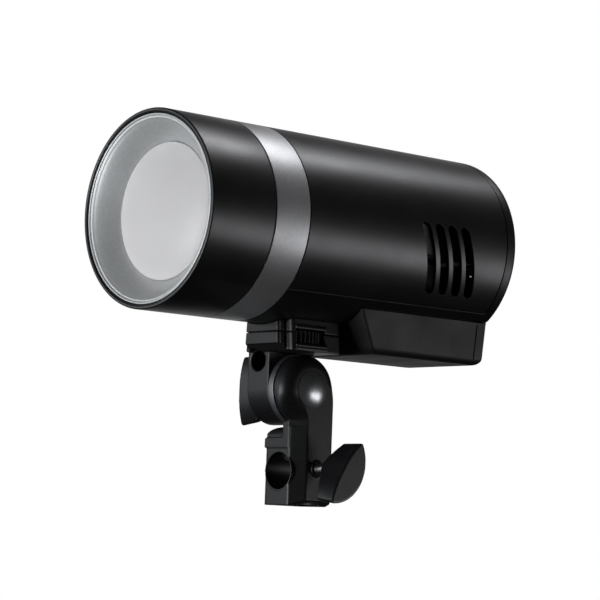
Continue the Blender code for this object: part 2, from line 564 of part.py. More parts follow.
# ---- battery pack -------------------------------------------------------------------------------
def battery():
    lower = [
        (-PACK_TOP_HALF, level(PACK_SHOULDER)), (-PACK_BOTTOM_HALF - 0.2, level(PACK_DROP + 4)),
        (-PACK_BOTTOM_HALF + 1.2, level(PACK_DROP + 1)), (-PACK_BOTTOM_HALF + 4, level(PACK_DROP)),
    ]
    outline = lower + [(-x, z) for x, z in reversed(lower)]
    case = prism("battery_case", outline, "Y", station(PACK_FRONT_TOP), station(PACK_END), "grey_plastic")
    slope = (PACK_FRONT_LOW - PACK_FRONT_TOP) / 16.0
    reach = 10.0
    cut(case, prism("pack_front_cutter", [
        (station(PACK_FRONT_TOP - slope * reach), level(PACK_SHOULDER + reach)),
        (station(PACK_FRONT_TOP + slope * (reach + 19)), level(PACK_DROP - reach)),
        (station(PACK_FRONT_TOP - 20), level(PACK_DROP - reach)),
        (station(PACK_FRONT_TOP - 20), level(PACK_SHOULDER + reach)),
    ], "X", -40, 40, "steel"))
    join(case, box("deck_guide", (-DECK_HALF, station(DECK_FRONT), level(PACK_SHOULDER - 3)),
                   (DECK_HALF, station(PACK_END), level(DECK_TOP)), "grey_plastic"))
    low = (-PACK_TOP_HALF, station(PACK_END - LIP_THICK), level(PACK_SHOULDER - 1))
    join(case, box("rear_lip_guide", low, (PACK_TOP_HALF, station(PACK_END), level(LIP_TOP)), "grey_plastic"))
    inner = DECK_HALF - PACK_WALL
    cut(case, box("pack_cavity_cutter", (-inner, station(CELL_START - 0.5), level(PACK_DROP + PACK_FLOOR)),
                  (inner, station(PACK_END - PACK_WALL), level(DECK_TOP + 3)), "steel"))

    cut(case, box("latch_cutter", (-LATCH_HALF - GAP, station(PACK_END - 3), level(LATCH_LOW - GAP)),
                  (LATCH_HALF + GAP, station(PACK_END + 3), level(LATCH_HIGH + GAP)), "steel"))
    box("battery_latch", (-LATCH_HALF, station(PACK_END - 2.0), level(LATCH_LOW)),
        (LATCH_HALF, station(PACK_END + 1.2), level(LATCH_HIGH)), "black_plastic",
        (0, station(PACK_END), level(LATCH_LOW)))

    box("battery_lid", (-DECK_HALF, station(DECK_FRONT), level(DECK_TOP + GAP)),
        (DECK_HALF, station(PACK_END), level(DECK_TOP + GAP + LID_T)), "grey_plastic")
    middle_low = PACK_DROP + PACK_FLOOR + GAP + CELL_R
    for number in range(4):
        x = (CELL_R + 0.2) * (1 if number % 2 else -1)
        z = middle_low + (2 * CELL_R + GAP) * (number // 2)
        rod(f"battery_cell_{number + 1}", "Y", (x, FRONT_Y, level(z)), CELL_R, CELL_START,
            CELL_START + CELL_LENGTH, "sleeve_blue", segments=24)

    half, ceiling = DECK_HALF + BAY_GAP, DECK_TOP + GAP + LID_T + BAY_GAP
    bay = box("battery_bay", (-half - BAY_WALL, station(DECK_FRONT - 1 - BAY_WALL), level(BAY_LOW)),
              (half + BAY_WALL, station(BAY_END), level(ceiling + BAY_WALL)), "black_plastic")
    cut(bay, box("bay_hollow_cutter", (-half, station(DECK_FRONT - 1), level(BAY_LOW - 9)),
                 (half, station(BAY_END + 8), level(ceiling)), "steel"))
    reach = TERMINAL_HALF + GAP
    for number, x in enumerate((-TERMINAL_X, TERMINAL_X)):
        low = (x - reach, station(DECK_FRONT - 4), level(TERMINAL_LOW - GAP))
        high = (x + reach, station(DECK_FRONT), level(TERMINAL_HIGH + GAP))
        cut(bay, box(f"terminal_cutter_{number}", low, high, "steel"))
        low = (x - TERMINAL_HALF, station(DECK_FRONT - 2.6), level(TERMINAL_LOW))
        high = (x + TERMINAL_HALF, station(DECK_FRONT - 0.4), level(TERMINAL_HIGH))
        box(f"battery_terminal_{number + 1}", low, high, "brass")


# ---- mounting foot, quick-release plate and thumbwheel ------------------------------------------
def foot_outline():
    corner = FOOT_CORNER
    half = [
        (TONGUE_HALF, station(FOOT_FRONT)), (TONGUE_HALF, station(FOOT_WIDE - corner)),
        (FOOT_HALF, station(FOOT_WIDE)),
    ]
    half += arc((FOOT_HALF - corner, station(FOOT_END - corner)), corner, 0, 90, 4)
    return half + [(-x, y) for x, y in reversed(half)]


def foot_and_plate():
    foot = prism("mounting_foot", foot_outline(), "Z", level(FOOT_SEAM + GAP / 2), level(FOOT_TOP),
                 "cast_black")
    cut(foot, rod("foot_tube_cutter", "Y", HEAD, TUBE_R + GAP, FOOT_FRONT - 5, FOOT_END + 5, "steel",
                  segments=72))
    half = FOOT_HALF + 3
    window = box("window_side_cutter", (-half, station(WINDOW_FRONT), level(WHEEL_BOTTOM - GAP)),
                 (half, station(WINDOW_END), level(WHEEL_TOP + GAP)), "steel")
    axle = (0, station(WHEEL_Y), HEAD_Z)
    pocket = rod("wheel_pocket_cutter", "Z", axle, WHEEL_R + GAP, WHEEL_BOTTOM - 2 * GAP, WHEEL_TOP + 2 * GAP,
                 "steel", segments=44)
    cut(foot, window, pocket)

    plate = prism("quick_release_plate", foot_outline(), "Z", level(PLATE_BOTTOM), level(FOOT_SEAM - GAP / 2),
                  "cast_black")
    cut(plate, prism("tongue_cutter", [
        (station(FOOT_FRONT - 4), level(TONGUE_BOTTOM)), (station(FOOT_FRONT + 1.4), level(TONGUE_BOTTOM)),
        (station(FOOT_WIDE), level(PLATE_BOTTOM - 0.1)), (station(FOOT_FRONT - 4), level(PLATE_BOTTOM - 3)),
    ], "X", -20, 20, "steel"))
    cut(plate, window, pocket)
    top = level(PLATE_BOTTOM + 1.0)
    side = arc(TILT[1:], KNUCKLE_R, 180, 360, 24)
    knuckle = prism("knuckle_guide", side + [(station(FOOT_END - 1), top), (station(WINDOW_FRONT), top)], "X",
                    KNUCKLE_OUT, KNUCKLE_IN, "cast_black")
    join(plate, knuckle)
    cut(plate, rod("umbrella_cutter", "Y", (UMBRELLA_X, FRONT_Y, level(UMBRELLA_Z)), UMBRELLA_R,
                   FOOT_FRONT - 6, FOOT_END + 10, "steel", segments=32))
    cut(plate, rod("knuckle_bore_cutter", "X", TILT, BOLT_R + GAP, -20, 5, "steel", segments=24))

    wheel_pivot = (0, station(WHEEL_Y), level(WHEEL_BOTTOM))
    wheel = turned("lock_thumbwheel", [
        (0, WHEEL_BOTTOM), (WHEEL_R - 0.5, WHEEL_BOTTOM), (WHEEL_R, WHEEL_BOTTOM + 0.5),
        (WHEEL_R, WHEEL_TOP - 0.5), (WHEEL_R - 0.5, WHEEL_TOP), (0, WHEEL_TOP),
    ], "Z", axle, "grey_plastic", wheel_pivot, segments=40)
    hole_r, stud_top = BOLT_R + GAP, WHEEL_TOP + 1.7
    cut(wheel, rod("wheel_bore_cutter", "Z", axle, hole_r, WHEEL_BOTTOM - 3, WHEEL_TOP + 3, "steel",
                   segments=24))
    rod("wheel_screw", "Z", axle, BOLT_R, PLATE_BOTTOM + 0.8, stud_top, "steel", wheel_pivot, segments=24)
    cut(foot, rod("foot_screw_cutter", "Z", axle, hole_r, WHEEL_TOP - 2, stud_top + 3, "steel", segments=24))
    cut(plate, rod("plate_screw_cutter", "Z", axle, hole_r, PLATE_BOTTOM - 2, WHEEL_BOTTOM + 2, "steel",
                   segments=24))


# ---- tilt joint ---------------------------------------------------------------------------------
def grip_outline(centre, turn_deg, shift):
    """A leaf-shaped bar, turned on its axis: a bowed side and a crowned side that meet at blunt tips."""
    half = GRIP_LENGTH / 2
    rise = GRIP_CROWN + GRIP_FLAT - GRIP_BOW - GRIP_BLUNT
    radius = (half * half + rise * rise) / (2 * rise)
    sweep = math.degrees(math.asin(half / radius))
    local = []
    for step in range(9):
        share = -1 + step / 4
        local.append((share * (half - 0.5), -GRIP_FLAT + GRIP_BOW * share * share))
    local += arc((0, GRIP_CROWN - radius), radius, 90 - sweep, 90 + sweep, 16)
    turn = math.radians(turn_deg)
    points = []
    for u, v in local:
        u += shift
        y = u * math.cos(turn) + v * math.sin(turn)
        z = u * math.sin(turn) - v * math.cos(turn)
        points.append((centre[0] + y, centre[1] + z))
    return points


def tilt_joint():
    tube("friction_washer", "X", TILT, BOLT_R + GAP, WASHER_R, KNUCKLE_IN + GAP, DISC_IN - GAP, "light_grey",
         segments=48)
    turned("pivot_bolt", [
        (0, TILT_GRIP_IN + 4), (BOLT_R, TILT_GRIP_IN + 4), (BOLT_R, ARM_OUT + GAP), (8.3, ARM_OUT + GAP),
        (8.1, ARM_OUT + 1.0), (6.6, ARM_OUT + 1.9), (3.6, ARM_OUT + 2.4), (0, ARM_OUT + 2.6),
    ], "X", TILT, "steel", TILT, segments=32)
    outline = grip_outline(TILT[1:], TILT_GRIP_DEG, 0)
    handle = prism("tilt_lock_handle", outline, "X", TILT_GRIP_OUT, TILT_GRIP_IN, "black_plastic", TILT)
    join(handle, rod("tilt_hub_guide", "X", TILT, HUB_R, TILT_GRIP_IN - 2, KNUCKLE_OUT - GAP,
                     "black_plastic"))
    cut(handle, rod("tilt_hub_cutter", "X", TILT, BOLT_R + GAP, TILT_GRIP_IN + 2 - GAP, 0, "steel",
                    segments=24))


# ---- bracket arm, stand socket and clamp --------------------------------------------------------
def socket_outline(grow=0.0):
    """Plan of the socket: square on the left, its two right-hand edges chamfered."""
    front, back = station(ARM_FRONT) - grow, station(ARM_BACK) + grow
    left, right = SOCKET_LEFT - grow, ARM_OUT + grow
    return [
        (left, back), (left, front), (right - FRONT_CHAMFER, front), (right, front + FRONT_CHAMFER),
        (right, back - BACK_CHAMFER), (right - BACK_CHAMFER, back),
    ]


def neck_outline():
    outline = socket_outline()
    return [(max(x, ARM_IN), y) for x, y in outline]


def bracket():
    arm = prism("bracket_arm", socket_outline(), "Z", SOCKET_FLOOR, level(SOCKET_TOP), "cast_black")
    corner, corner_z = BLOCK_CORNER, level(SOCKET_TOP)
    hollow = [
        (SOCKET_LEFT - 2, corner_z - corner), (SOCKET_LEFT - 2, corner_z + 2),
        (SOCKET_LEFT + corner, corner_z + 2),
    ]
    hollow += arc((SOCKET_LEFT + corner, corner_z - corner), corner, 90, 180, 6)
    cut(arm, prism("corner_cutter", hollow, "Y", -30, 30, "steel"))
    join(arm, prism("band_guide", socket_outline(BAND_PROUD), "Z", level(BAND_LOW), level(BAND_TOP),
                    "cast_black"))
    join(arm, prism("neck_guide", neck_outline(), "Z", level(SOCKET_TOP - 3), level(TILT_Z - 2),
                    "cast_black"))
    join(arm, turned("disc_guide", [
        (0, DISC_IN), (KNUCKLE_R, DISC_IN), (KNUCKLE_R, ARM_OUT - DISC_CHAMFER),
        (KNUCKLE_R - DISC_CHAMFER, ARM_OUT), (0, ARM_OUT),
    ], "X", TILT, "cast_black", segments=48))
    clamp_axis = (0, 0, CLAMP_Z)
    join(arm, rod("clamp_boss_guide", "X", clamp_axis, CLAMP_BOSS_R, ARM_OUT - 1, ARM_OUT + CLAMP_BOSS_OUT,
                  "cast_black", segments=22))
    cross = (CROSS_BORE_X, 0, CROSS_BORE_Z)
    rim_r = CROSS_BORE_R + BORE_RIM
    join(arm, rod("cross_boss_guide", "Y", cross, rim_r, station(ARM_FRONT) - BORE_RIM_PROUD,
                  station(ARM_BACK) + BORE_RIM_PROUD, "cast_black", segments=34))
    cut(arm, rod("washer_seat_cutter", "X", TILT, WASHER_R + GAP, -2, DISC_IN, "steel", segments=52))
    cut(arm, rod("arm_bore_cutter", "X", TILT, BOLT_R + GAP, -5, 30, "steel", segments=20))
    cut(arm, rod("clamp_bore_cutter", "X", clamp_axis, SCREW_R + GAP, 3.1, 30, "steel", segments=18))
    cut(arm, rod("stud_bore_cutter", "Z", (0, 0, 0), STUD_BORE_R, SOCKET_FLOOR - 3, 0, "steel", segments=36))
    cut(arm, rod("cross_bore_cutter", "Y", cross, CROSS_BORE_R, -30, 30, "steel", segments=38))
    wedge = [(ARM_OUT - FRONT_CHAMFER, SOCKET_FLOOR - 1), (ARM_OUT + 1, SOCKET_FLOOR - 1),
             (ARM_OUT + 1, SOCKET_FLOOR + FOOT_RISE), (ARM_OUT - FRONT_CHAMFER, SOCKET_FLOOR)]
    cut(arm, prism("foot_edge_cutter", wedge, "Y", -30, 30, "steel"))

    screw_tip, socket_end = STUD_BORE_R + 0.7, CLAMP_GRIP_IN + GRIP_SOCKET
    rod("clamp_screw", "X", clamp_axis, SCREW_R, screw_tip, socket_end, "steel", clamp_axis, segments=24)
    outline = grip_outline(clamp_axis[1:], CLAMP_GRIP_DEG, CLAMP_GRIP_SHIFT)
    handle = prism("clamp_handle", outline, "X", CLAMP_GRIP_IN, CLAMP_GRIP_OUT, "black_plastic", clamp_axis)
    cut(handle, rod("handle_bore_cutter", "X", clamp_axis, SCREW_R + GAP, CLAMP_GRIP_IN - 2, socket_end + GAP,
                    "steel", segments=24))


def main():
    for obj in list(bpy.data.objects):
        bpy.data.objects.remove(obj)
    head_shells()
    light_source()
    power_section()
    cooling_fan()
    rear_controls()
    battery()
    foot_and_plate()
    tilt_joint()
    bracket()


main()
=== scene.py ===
"""Looks of the battery monolight strobe: shells, bracket, controls, finishes, studio light and camera.

Lengths are millimetres unless a name says otherwise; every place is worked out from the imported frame.
"""

import json
import math

import bmesh
import bpy
from mathutils import Matrix, Vector

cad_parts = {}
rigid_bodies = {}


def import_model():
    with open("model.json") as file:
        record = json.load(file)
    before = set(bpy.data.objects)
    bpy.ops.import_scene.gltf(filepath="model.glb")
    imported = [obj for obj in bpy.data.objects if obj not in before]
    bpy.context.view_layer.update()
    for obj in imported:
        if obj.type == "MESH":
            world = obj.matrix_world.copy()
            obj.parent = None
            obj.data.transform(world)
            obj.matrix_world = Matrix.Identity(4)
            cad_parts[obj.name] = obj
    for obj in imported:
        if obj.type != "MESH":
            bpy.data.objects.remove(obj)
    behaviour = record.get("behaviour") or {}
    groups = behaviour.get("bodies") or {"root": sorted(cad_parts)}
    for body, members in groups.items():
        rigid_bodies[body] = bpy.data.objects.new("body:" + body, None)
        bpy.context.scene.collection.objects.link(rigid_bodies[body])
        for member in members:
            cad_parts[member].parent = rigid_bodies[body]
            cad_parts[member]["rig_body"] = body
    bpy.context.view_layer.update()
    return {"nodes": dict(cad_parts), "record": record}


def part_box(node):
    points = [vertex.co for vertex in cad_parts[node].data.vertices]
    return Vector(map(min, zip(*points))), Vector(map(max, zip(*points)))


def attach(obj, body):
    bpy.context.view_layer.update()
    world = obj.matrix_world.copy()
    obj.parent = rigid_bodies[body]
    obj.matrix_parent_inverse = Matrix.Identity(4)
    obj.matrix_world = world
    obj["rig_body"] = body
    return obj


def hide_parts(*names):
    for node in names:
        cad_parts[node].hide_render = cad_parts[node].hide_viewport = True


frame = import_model()

MM = 0.001
GAP = 0.3                                              # clearance between neighbouring pieces
THROUGH = 30.0                                         # reach of a cutter that passes right through


def extent(node):
    """A node's lowest and highest corners in millimetres."""
    low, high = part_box(node)
    return Vector(low) / MM, Vector(high) / MM


def middle(node):
    low, high = extent(node)
    return (low + high) / 2


# ---- places read from the frame -------------------------------------------------------------------
BARREL_LOW, BARREL_HIGH = extent("front_barrel")
TUBE_R = BARREL_HIGH.x
HEAD_Z = (BARREL_LOW.z + BARREL_HIGH.z) / 2
FRONT_Y = BARREL_LOW.y
HEAD = Vector((0, 0, HEAD_Z))
WALL = 2.0
ARM_FLOOR = extent("bracket_arm")[0].z
PLATE_LOW, PLATE_HIGH = extent("quick_release_plate")
TILT = middle("friction_washer")
TILT.x = 0
CLAMP = middle("clamp_screw")
CLAMP.x = 0
ARM_IN, ARM_OUT = 0.3, 10.4
NECK_HALF = 11.4


def station(y):
    """World y of a place counted from the front rim."""
    return FRONT_Y + y


def level(z):
    """World z of a height counted from the tube's axis."""
    return HEAD_Z + z


# ==== node materials =================================================================================
MIX_FACTOR, MIX_FIRST, MIX_SECOND, MIX_RESULT = 0, 6, 7, 2      # sockets of a Mix node set to colours
NUMBER_FIRST, NUMBER_SECOND = 2, 3                              # sockets of a Mix node set to numbers


def input_of(node, name, value):
    node.inputs[name].default_value = value


class Finish:
    """A material whose nodes are added one by one, all reading object coordinates in metres."""

    def __init__(self, name, colour, roughness, metallic=0.0):
        self.material = bpy.data.materials.new(name)
        self.material.use_nodes = True
        self.tree = self.material.node_tree
        self.shader = self.tree.nodes["Principled BSDF"]
        input_of(self.shader, "Base Color", (*colour, 1))
        input_of(self.shader, "Roughness", roughness)
        input_of(self.shader, "Metallic", metallic)
        self.colour = colour
        self.roughness = roughness
        self.place = self.add("ShaderNodeTexCoord").outputs["Object"]
        self.height = None

    def add(self, kind, **settings):
        node = self.tree.nodes.new(kind)
        for key, value in settings.items():
            setattr(node, key, value)
        return node

    def link(self, source, target):
        self.tree.links.new(source, target)

    def stretched(self, scale):
        """Coordinates squeezed by a scale for each axis, so that a pattern runs in streaks."""
        mapping = self.add("ShaderNodeMapping")
        input_of(mapping, "Scale", scale)
        self.link(self.place, mapping.inputs["Vector"])
        return mapping.outputs["Vector"]

    def noise(self, per_metre, detail=3.0, rough=0.5, place=None):
        node = self.add("ShaderNodeTexNoise")
        input_of(node, "Scale", per_metre)
        input_of(node, "Detail", detail)
        input_of(node, "Roughness", rough)
        self.link(place or self.place, node.inputs["Vector"])
        return node.outputs["Fac"]

    def remap(self, source, low, high, start=0.0, end=1.0):
        node = self.add("ShaderNodeMapRange")
        for name, value in (("From Min", start), ("From Max", end), ("To Min", low), ("To Max", high)):
            input_of(node, name, value)
        self.link(source, node.inputs["Value"])
        return node.outputs["Result"]

    def mixed(self, factor, first, second):
        """Colour that goes from the first to the second as the factor goes from 0 to 1."""
        node = self.add("ShaderNodeMix", data_type="RGBA")
        for index, colour in ((MIX_FIRST, first), (MIX_SECOND, second)):
            if isinstance(colour, tuple):
                node.inputs[index].default_value = (*colour, 1)
            else:
                self.link(colour, node.inputs[index])
        self.link(factor, node.inputs[MIX_FACTOR])
        return node.outputs[MIX_RESULT]

    def bump(self, source, strength, depth_mm):
        """Add a layer of relief; layers build on each other."""
        node = self.add("ShaderNodeBump")
        input_of(node, "Strength", strength)
        input_of(node, "Distance", depth_mm * MM)
        self.link(source, node.inputs["Height"])
        if self.height:
            self.link(self.height, node.inputs["Normal"])
        self.height = node.outputs["Normal"]
        self.link(self.height, self.shader.inputs["Normal"])

    def vary_roughness(self, source, spread):
        low, high = self.roughness - spread, self.roughness + spread
        self.link(self.remap(source, low, high, 0.3, 0.7), self.shader.inputs["Roughness"])

    def vary_colour(self, source, other):
        shade = self.mixed(self.remap(source, 0, 1, 0.35, 0.65), self.colour, other)
        self.link(shade, self.shader.inputs["Base Color"])
        return shade

    def worn_edges(self, base, bare, start=0.53, end=0.62):
        """Rub the colour off where the surface is sharply convex."""
        pointed = self.add("ShaderNodeNewGeometry").outputs["Pointiness"]
        patchy = self.add("ShaderNodeMath", operation="MULTIPLY")
        self.link(self.remap(pointed, 0, 1, start, end), patchy.inputs[0])
        self.link(self.remap(self.noise(260, 4), 0, 1, 0.42, 0.7), patchy.inputs[1])
        self.link(self.mixed(patchy.outputs[0], base, bare), self.shader.inputs["Base Color"])


def anodised(name, colour, other, roughness, grain):
    """Bead-blasted, dyed aluminium: a tight grain with sparkle and faint handling marks."""
    finish = Finish(name, colour, roughness)
    input_of(finish.shader, "IOR", 1.62)
    finish.vary_colour(finish.noise(1500, 2), other)
    finish.vary_roughness(finish.noise(38, 4), 0.03)
    finish.bump(finish.noise(2600, 2), grain, 0.05)
    finish.bump(finish.noise(60, 2), 0.05, 0.05)
    return finish.material


def satin(name, colour, other, roughness, metallic):
    """Satin metal with a tight grain and soft cloudy wear."""
    finish = Finish(name, colour, roughness, metallic)
    finish.vary_colour(finish.noise(900, 3), other)
    finish.vary_roughness(finish.noise(50, 4), 0.03)
    finish.bump(finish.noise(1900, 3), 0.16, 0.03)
    finish.bump(finish.noise(70, 2), 0.04, 0.05)
    return finish.material


def moulded(name, colour, other, roughness, texture_mm, relief, wear=None):
    """Moulded plastic or a powder-coated casting: a spark-eroded skin with soft blotches."""
    finish = Finish(name, colour, roughness)
    skin = finish.noise(1.0 / (texture_mm * MM), 3, 0.6)
    shade = finish.vary_colour(finish.noise(700, 3), other)
    if wear:
        finish.worn_edges(shade, wear)
    finish.vary_roughness(finish.noise(45, 3), 0.05)
    finish.bump(skin, relief, 0.06)
    return finish.material


def turned_metal(name, colour, roughness, streaks):
    """Lathe-turned or brushed metal: streaks that run round the axis."""
    finish = Finish(name, colour, roughness, 1.0)
    lines = finish.noise(1.0, 2, 0.6, finish.stretched(streaks))
    finish.vary_roughness(lines, 0.06)
    finish.bump(lines, 0.12, 0.02)
    finish.bump(finish.noise(1800, 2), 0.06, 0.03)
    return finish.material


def make_finishes():
    dull = (0.008, 0.008, 0.009)
    worn = (0.018, 0.018, 0.019)
    made = {
        "black_anodised": anodised("black_anodised", (0.006, 0.006, 0.0075), (0.010, 0.010, 0.012),
                                   0.385, 0.35),
        "silver_anodised": satin("silver_anodised", (0.54, 0.54, 0.55), (0.60, 0.60, 0.61), 0.46, 0.75),
        "black_plastic": moulded("black_plastic", (0.005, 0.005, 0.006), dull, 0.42, 0.45, 0.25),
        "grey_plastic": moulded("grey_plastic", (0.010, 0.010, 0.012), (0.014, 0.014, 0.016),
                                0.54, 0.5, 0.25),
        "cast_black": moulded("cast_black", (0.004, 0.004, 0.005), dull, 0.45, 0.4, 0.18, worn),
        "lever_black": moulded("lever_black", (0.004, 0.004, 0.005), dull, 0.34, 0.5, 0.12),
        "reflector": satin("reflector", (0.62, 0.63, 0.635), (0.68, 0.69, 0.695), 0.50, 0.55),
        "steel": turned_metal("steel", (0.52, 0.52, 0.53), 0.30, (2500, 300, 300)),
        "cap_grey": satin("cap_grey", (0.42, 0.43, 0.44), (0.48, 0.49, 0.50), 0.31, 0.9),
        "light_grey": turned_metal("light_grey", (0.20, 0.212, 0.225), 0.52, (300, 2000, 2000)),
        "brass": turned_metal("brass", (0.70, 0.48, 0.20), 0.30, (900, 900, 900)),
        "circuit": moulded("circuit", (0.006, 0.035, 0.016), (0.010, 0.060, 0.026), 0.38, 0.9, 0.30),
        "ceramic": moulded("ceramic", (0.78, 0.76, 0.72), (0.70, 0.68, 0.64), 0.62, 0.3, 0.20),
        "led": moulded("led", (0.85, 0.66, 0.12), (0.95, 0.78, 0.25), 0.40, 0.25, 0.20),
        "sleeve_blue": moulded("sleeve_blue", (0.012, 0.03, 0.11), (0.02, 0.045, 0.15), 0.30, 1.5, 0.10),
        "screen": moulded("screen", (0.010, 0.014, 0.018), (0.016, 0.02, 0.024), 0.16, 2.0, 0.03),
        "mark": moulded("mark", (0.55, 0.55, 0.54), (0.62, 0.62, 0.61), 0.55, 0.3, 0.05),
        "gasket": moulded("gasket", (0.004, 0.004, 0.004), (0.007, 0.007, 0.007), 0.85, 0.5, 0.5),
    }
    opal = Finish("opal", (0.80, 0.78, 0.785), 0.46)
    opal.vary_colour(opal.noise(30, 3), (0.77, 0.75, 0.755))
    opal.vary_roughness(opal.noise(80, 3), 0.04)
    opal.bump(opal.noise(2400, 2), 0.12, 0.03)
    input_of(opal.shader, "Subsurface Weight", 0.5)
    input_of(opal.shader, "Subsurface Radius", (0.006, 0.005, 0.0045))
    made["opal"] = opal.material
    for name, tint, haze in (("clear", (0.92, 0.95, 0.96), 0.03), ("red_lens", (0.30, 0.01, 0.01), 0.08)):
        glass = Finish(name, tint, haze)
        input_of(glass.shader, "Transmission Weight", 0.95)
        glass.vary_roughness(glass.noise(60, 3), 0.02)
        glass.bump(glass.noise(60, 2), 0.01, 0.01)
        made[name] = glass.material
    return made


FINISHES = make_finishes()


# ==== mesh tools =====================================================================================
def piece(name, bm, finish, body, stands_for=(), bevel=0.0, bevel_deg=38, steps=3):
    """Make an object of a mesh in millimetres, give it a finish, and let it ride on its body."""
    bmesh.ops.recalc_face_normals(bm, faces=bm.faces)
    bmesh.ops.scale(bm, vec=(MM, MM, MM), verts=bm.verts)
    mesh = bpy.data.meshes.new(name)
    bm.to_mesh(mesh)
    bm.free()
    obj = bpy.data.objects.new(name, mesh)
    bpy.context.scene.collection.objects.link(obj)
    mesh.materials.append(FINISHES[finish])
    mesh.shade_smooth()
    if bevel:
        soften(obj, bevel, bevel_deg, steps)
    elif bevel_deg:
        mesh.set_sharp_from_angle(angle=math.radians(bevel_deg))
    if body:
        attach(obj, body)
    if stands_for:
        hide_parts(*stands_for)
    return obj


def soften(obj, width, angle_deg=38, steps=3):
    """Round the edges sharper than an angle."""
    modifier = obj.modifiers.new("edge_round", "BEVEL")
    modifier.width = width * MM
    modifier.segments = steps
    modifier.limit_method = "ANGLE"
    modifier.angle_limit = math.radians(angle_deg)
    modifier.harden_normals = True


def filleted(points, closed=True, steps=4):
    """Round the corners of an outline; a point is (a, b) or (a, b, radius)."""
    result = []
    count = len(points)
    for index, point in enumerate(points):
        corner = Vector(point[:2])
        radius = point[2] if len(point) > 2 else 0
        if not radius or (not closed and index in (0, count - 1)):
            result.append(tuple(corner))
            continue
        before = Vector(points[index - 1][:2]) - corner
        after = Vector(points[(index + 1) % count][:2]) - corner
        start = corner + before.normalized() * min(radius, before.length / 2.01)
        end = corner + after.normalized() * min(radius, after.length / 2.01)
        for step in range(steps + 1):
            t = step / steps
            result.append(tuple(start * (1 - t) ** 2 + corner * 2 * t * (1 - t) + end * t * t))
    return result


def arc(centre, radius, start_deg, end_deg, steps):
    points = []
    for step in range(steps + 1):
        angle = math.radians(start_deg + (end_deg - start_deg) * step / steps)
        points.append((centre[0] + radius * math.cos(angle), centre[1] + radius * math.sin(angle)))
    return points


def rounded(width, height, radius, mid=(0, 0), steps=6):
    points = []
    for quarter, (side, end) in enumerate(((1, 1), (-1, 1), (-1, -1), (1, -1))):
        corner = (mid[0] + side * (width / 2 - radius), mid[1] + end * (height / 2 - radius))
        points += arc(corner, radius, 90 * quarter, 90 * quarter + 90, steps)
    return points


def on_axis(axis, across, up, along):
    if axis == "X":
        return Vector((along, across, up))
    if axis == "Y":
        return Vector((across, along, up))
    return Vector((across, up, along))


def turned(outline, axis, centre, segments=160, ends=None):
    """Spin a closed outline of (radius, distance); ends(radius) gives the arc's two angles if it is open."""
    bm = bmesh.new()
    rows = []
    whole = ends is None
    for step in range(segments if whole else segments + 1):
        row = []
        for radius, along in outline:
            start, end = (0, 360) if whole else ends(radius)
            angle = math.radians(start + (end - start) * step / segments)
            if radius < 1e-6 and rows:
                row.append(rows[0][len(row)])
                continue
            point = on_axis(axis, radius * math.cos(angle), radius * math.sin(angle), along)
            row.append(bm.verts.new(Vector(centre) + point))
        rows.append(row)
    pairs = list(zip(rows, rows[1:]))
    if whole:
        pairs.append((rows[-1], rows[0]))
    count = len(outline)
    for row, following in pairs:
        for index in range(count):
            after = (index + 1) % count
            corners = []
            for vert in (row[index], row[after], following[after], following[index]):
                if vert not in corners:
                    corners.append(vert)
            if len(corners) > 2:
                bm.faces.new(corners)
    if not whole:
        bm.faces.new(rows[0])
        bm.faces.new(rows[-1])
    return bm


def prism(outline, axis, low, high):
    """Push an outline along an axis."""
    bm = bmesh.new()
    loops = []
    for along in (low, high):
        loops.append([bm.verts.new(on_axis(axis, point[0], point[1], along)) for point in outline])
    bm.faces.new(loops[0])
    bm.faces.new(loops[1])
    for index in range(len(outline)):
        after = (index + 1) % len(outline)
        bm.faces.new((loops[0][index], loops[0][after], loops[1][after], loops[1][index]))
    return bm


def lofted(loops):
    """A closed skin over loops of the same number of points, capped at both ends."""
    bm = bmesh.new()
    rings = []
    for loop in loops:
        rings.append([bm.verts.new(point) for point in loop])
    for ring, following in zip(rings, rings[1:]):
        for index in range(len(ring)):
            after = (index + 1) % len(ring)
            bm.faces.new((ring[index], ring[after], following[after], following[index]))
    bm.faces.new(rings[0])
    bm.faces.new(rings[-1])
    return bm


def block(low, high):
    outline = [(low[0], low[1]), (high[0], low[1]), (high[0], high[1]), (low[0], high[1])]
    return prism(outline, "Z", low[2], high[2])


def rod(axis, centre, radius, low, high, segments=64):
    return turned([(0, low), (radius, low), (radius, high), (0, high)], axis, centre, segments)


def merge(target, other):
    """Add one mesh to another as a further closed shell."""
    mesh = bpy.data.meshes.new("merge")
    other.to_mesh(mesh)
    other.free()
    target.from_mesh(mesh)
    bpy.data.meshes.remove(mesh)


def evaluated_mesh(obj):
    bpy.context.view_layer.update()
    graph = bpy.context.evaluated_depsgraph_get()
    return bpy.data.meshes.new_from_object(obj.evaluated_get(graph))


def as_object(bm, name):
    """A plain object of a mesh that still counts in millimetres."""
    bmesh.ops.recalc_face_normals(bm, faces=bm.faces)
    mesh = bpy.data.meshes.new(name)
    bm.to_mesh(mesh)
    bm.free()
    obj = bpy.data.objects.new(name, mesh)
    bpy.context.scene.collection.objects.link(obj)
    return obj


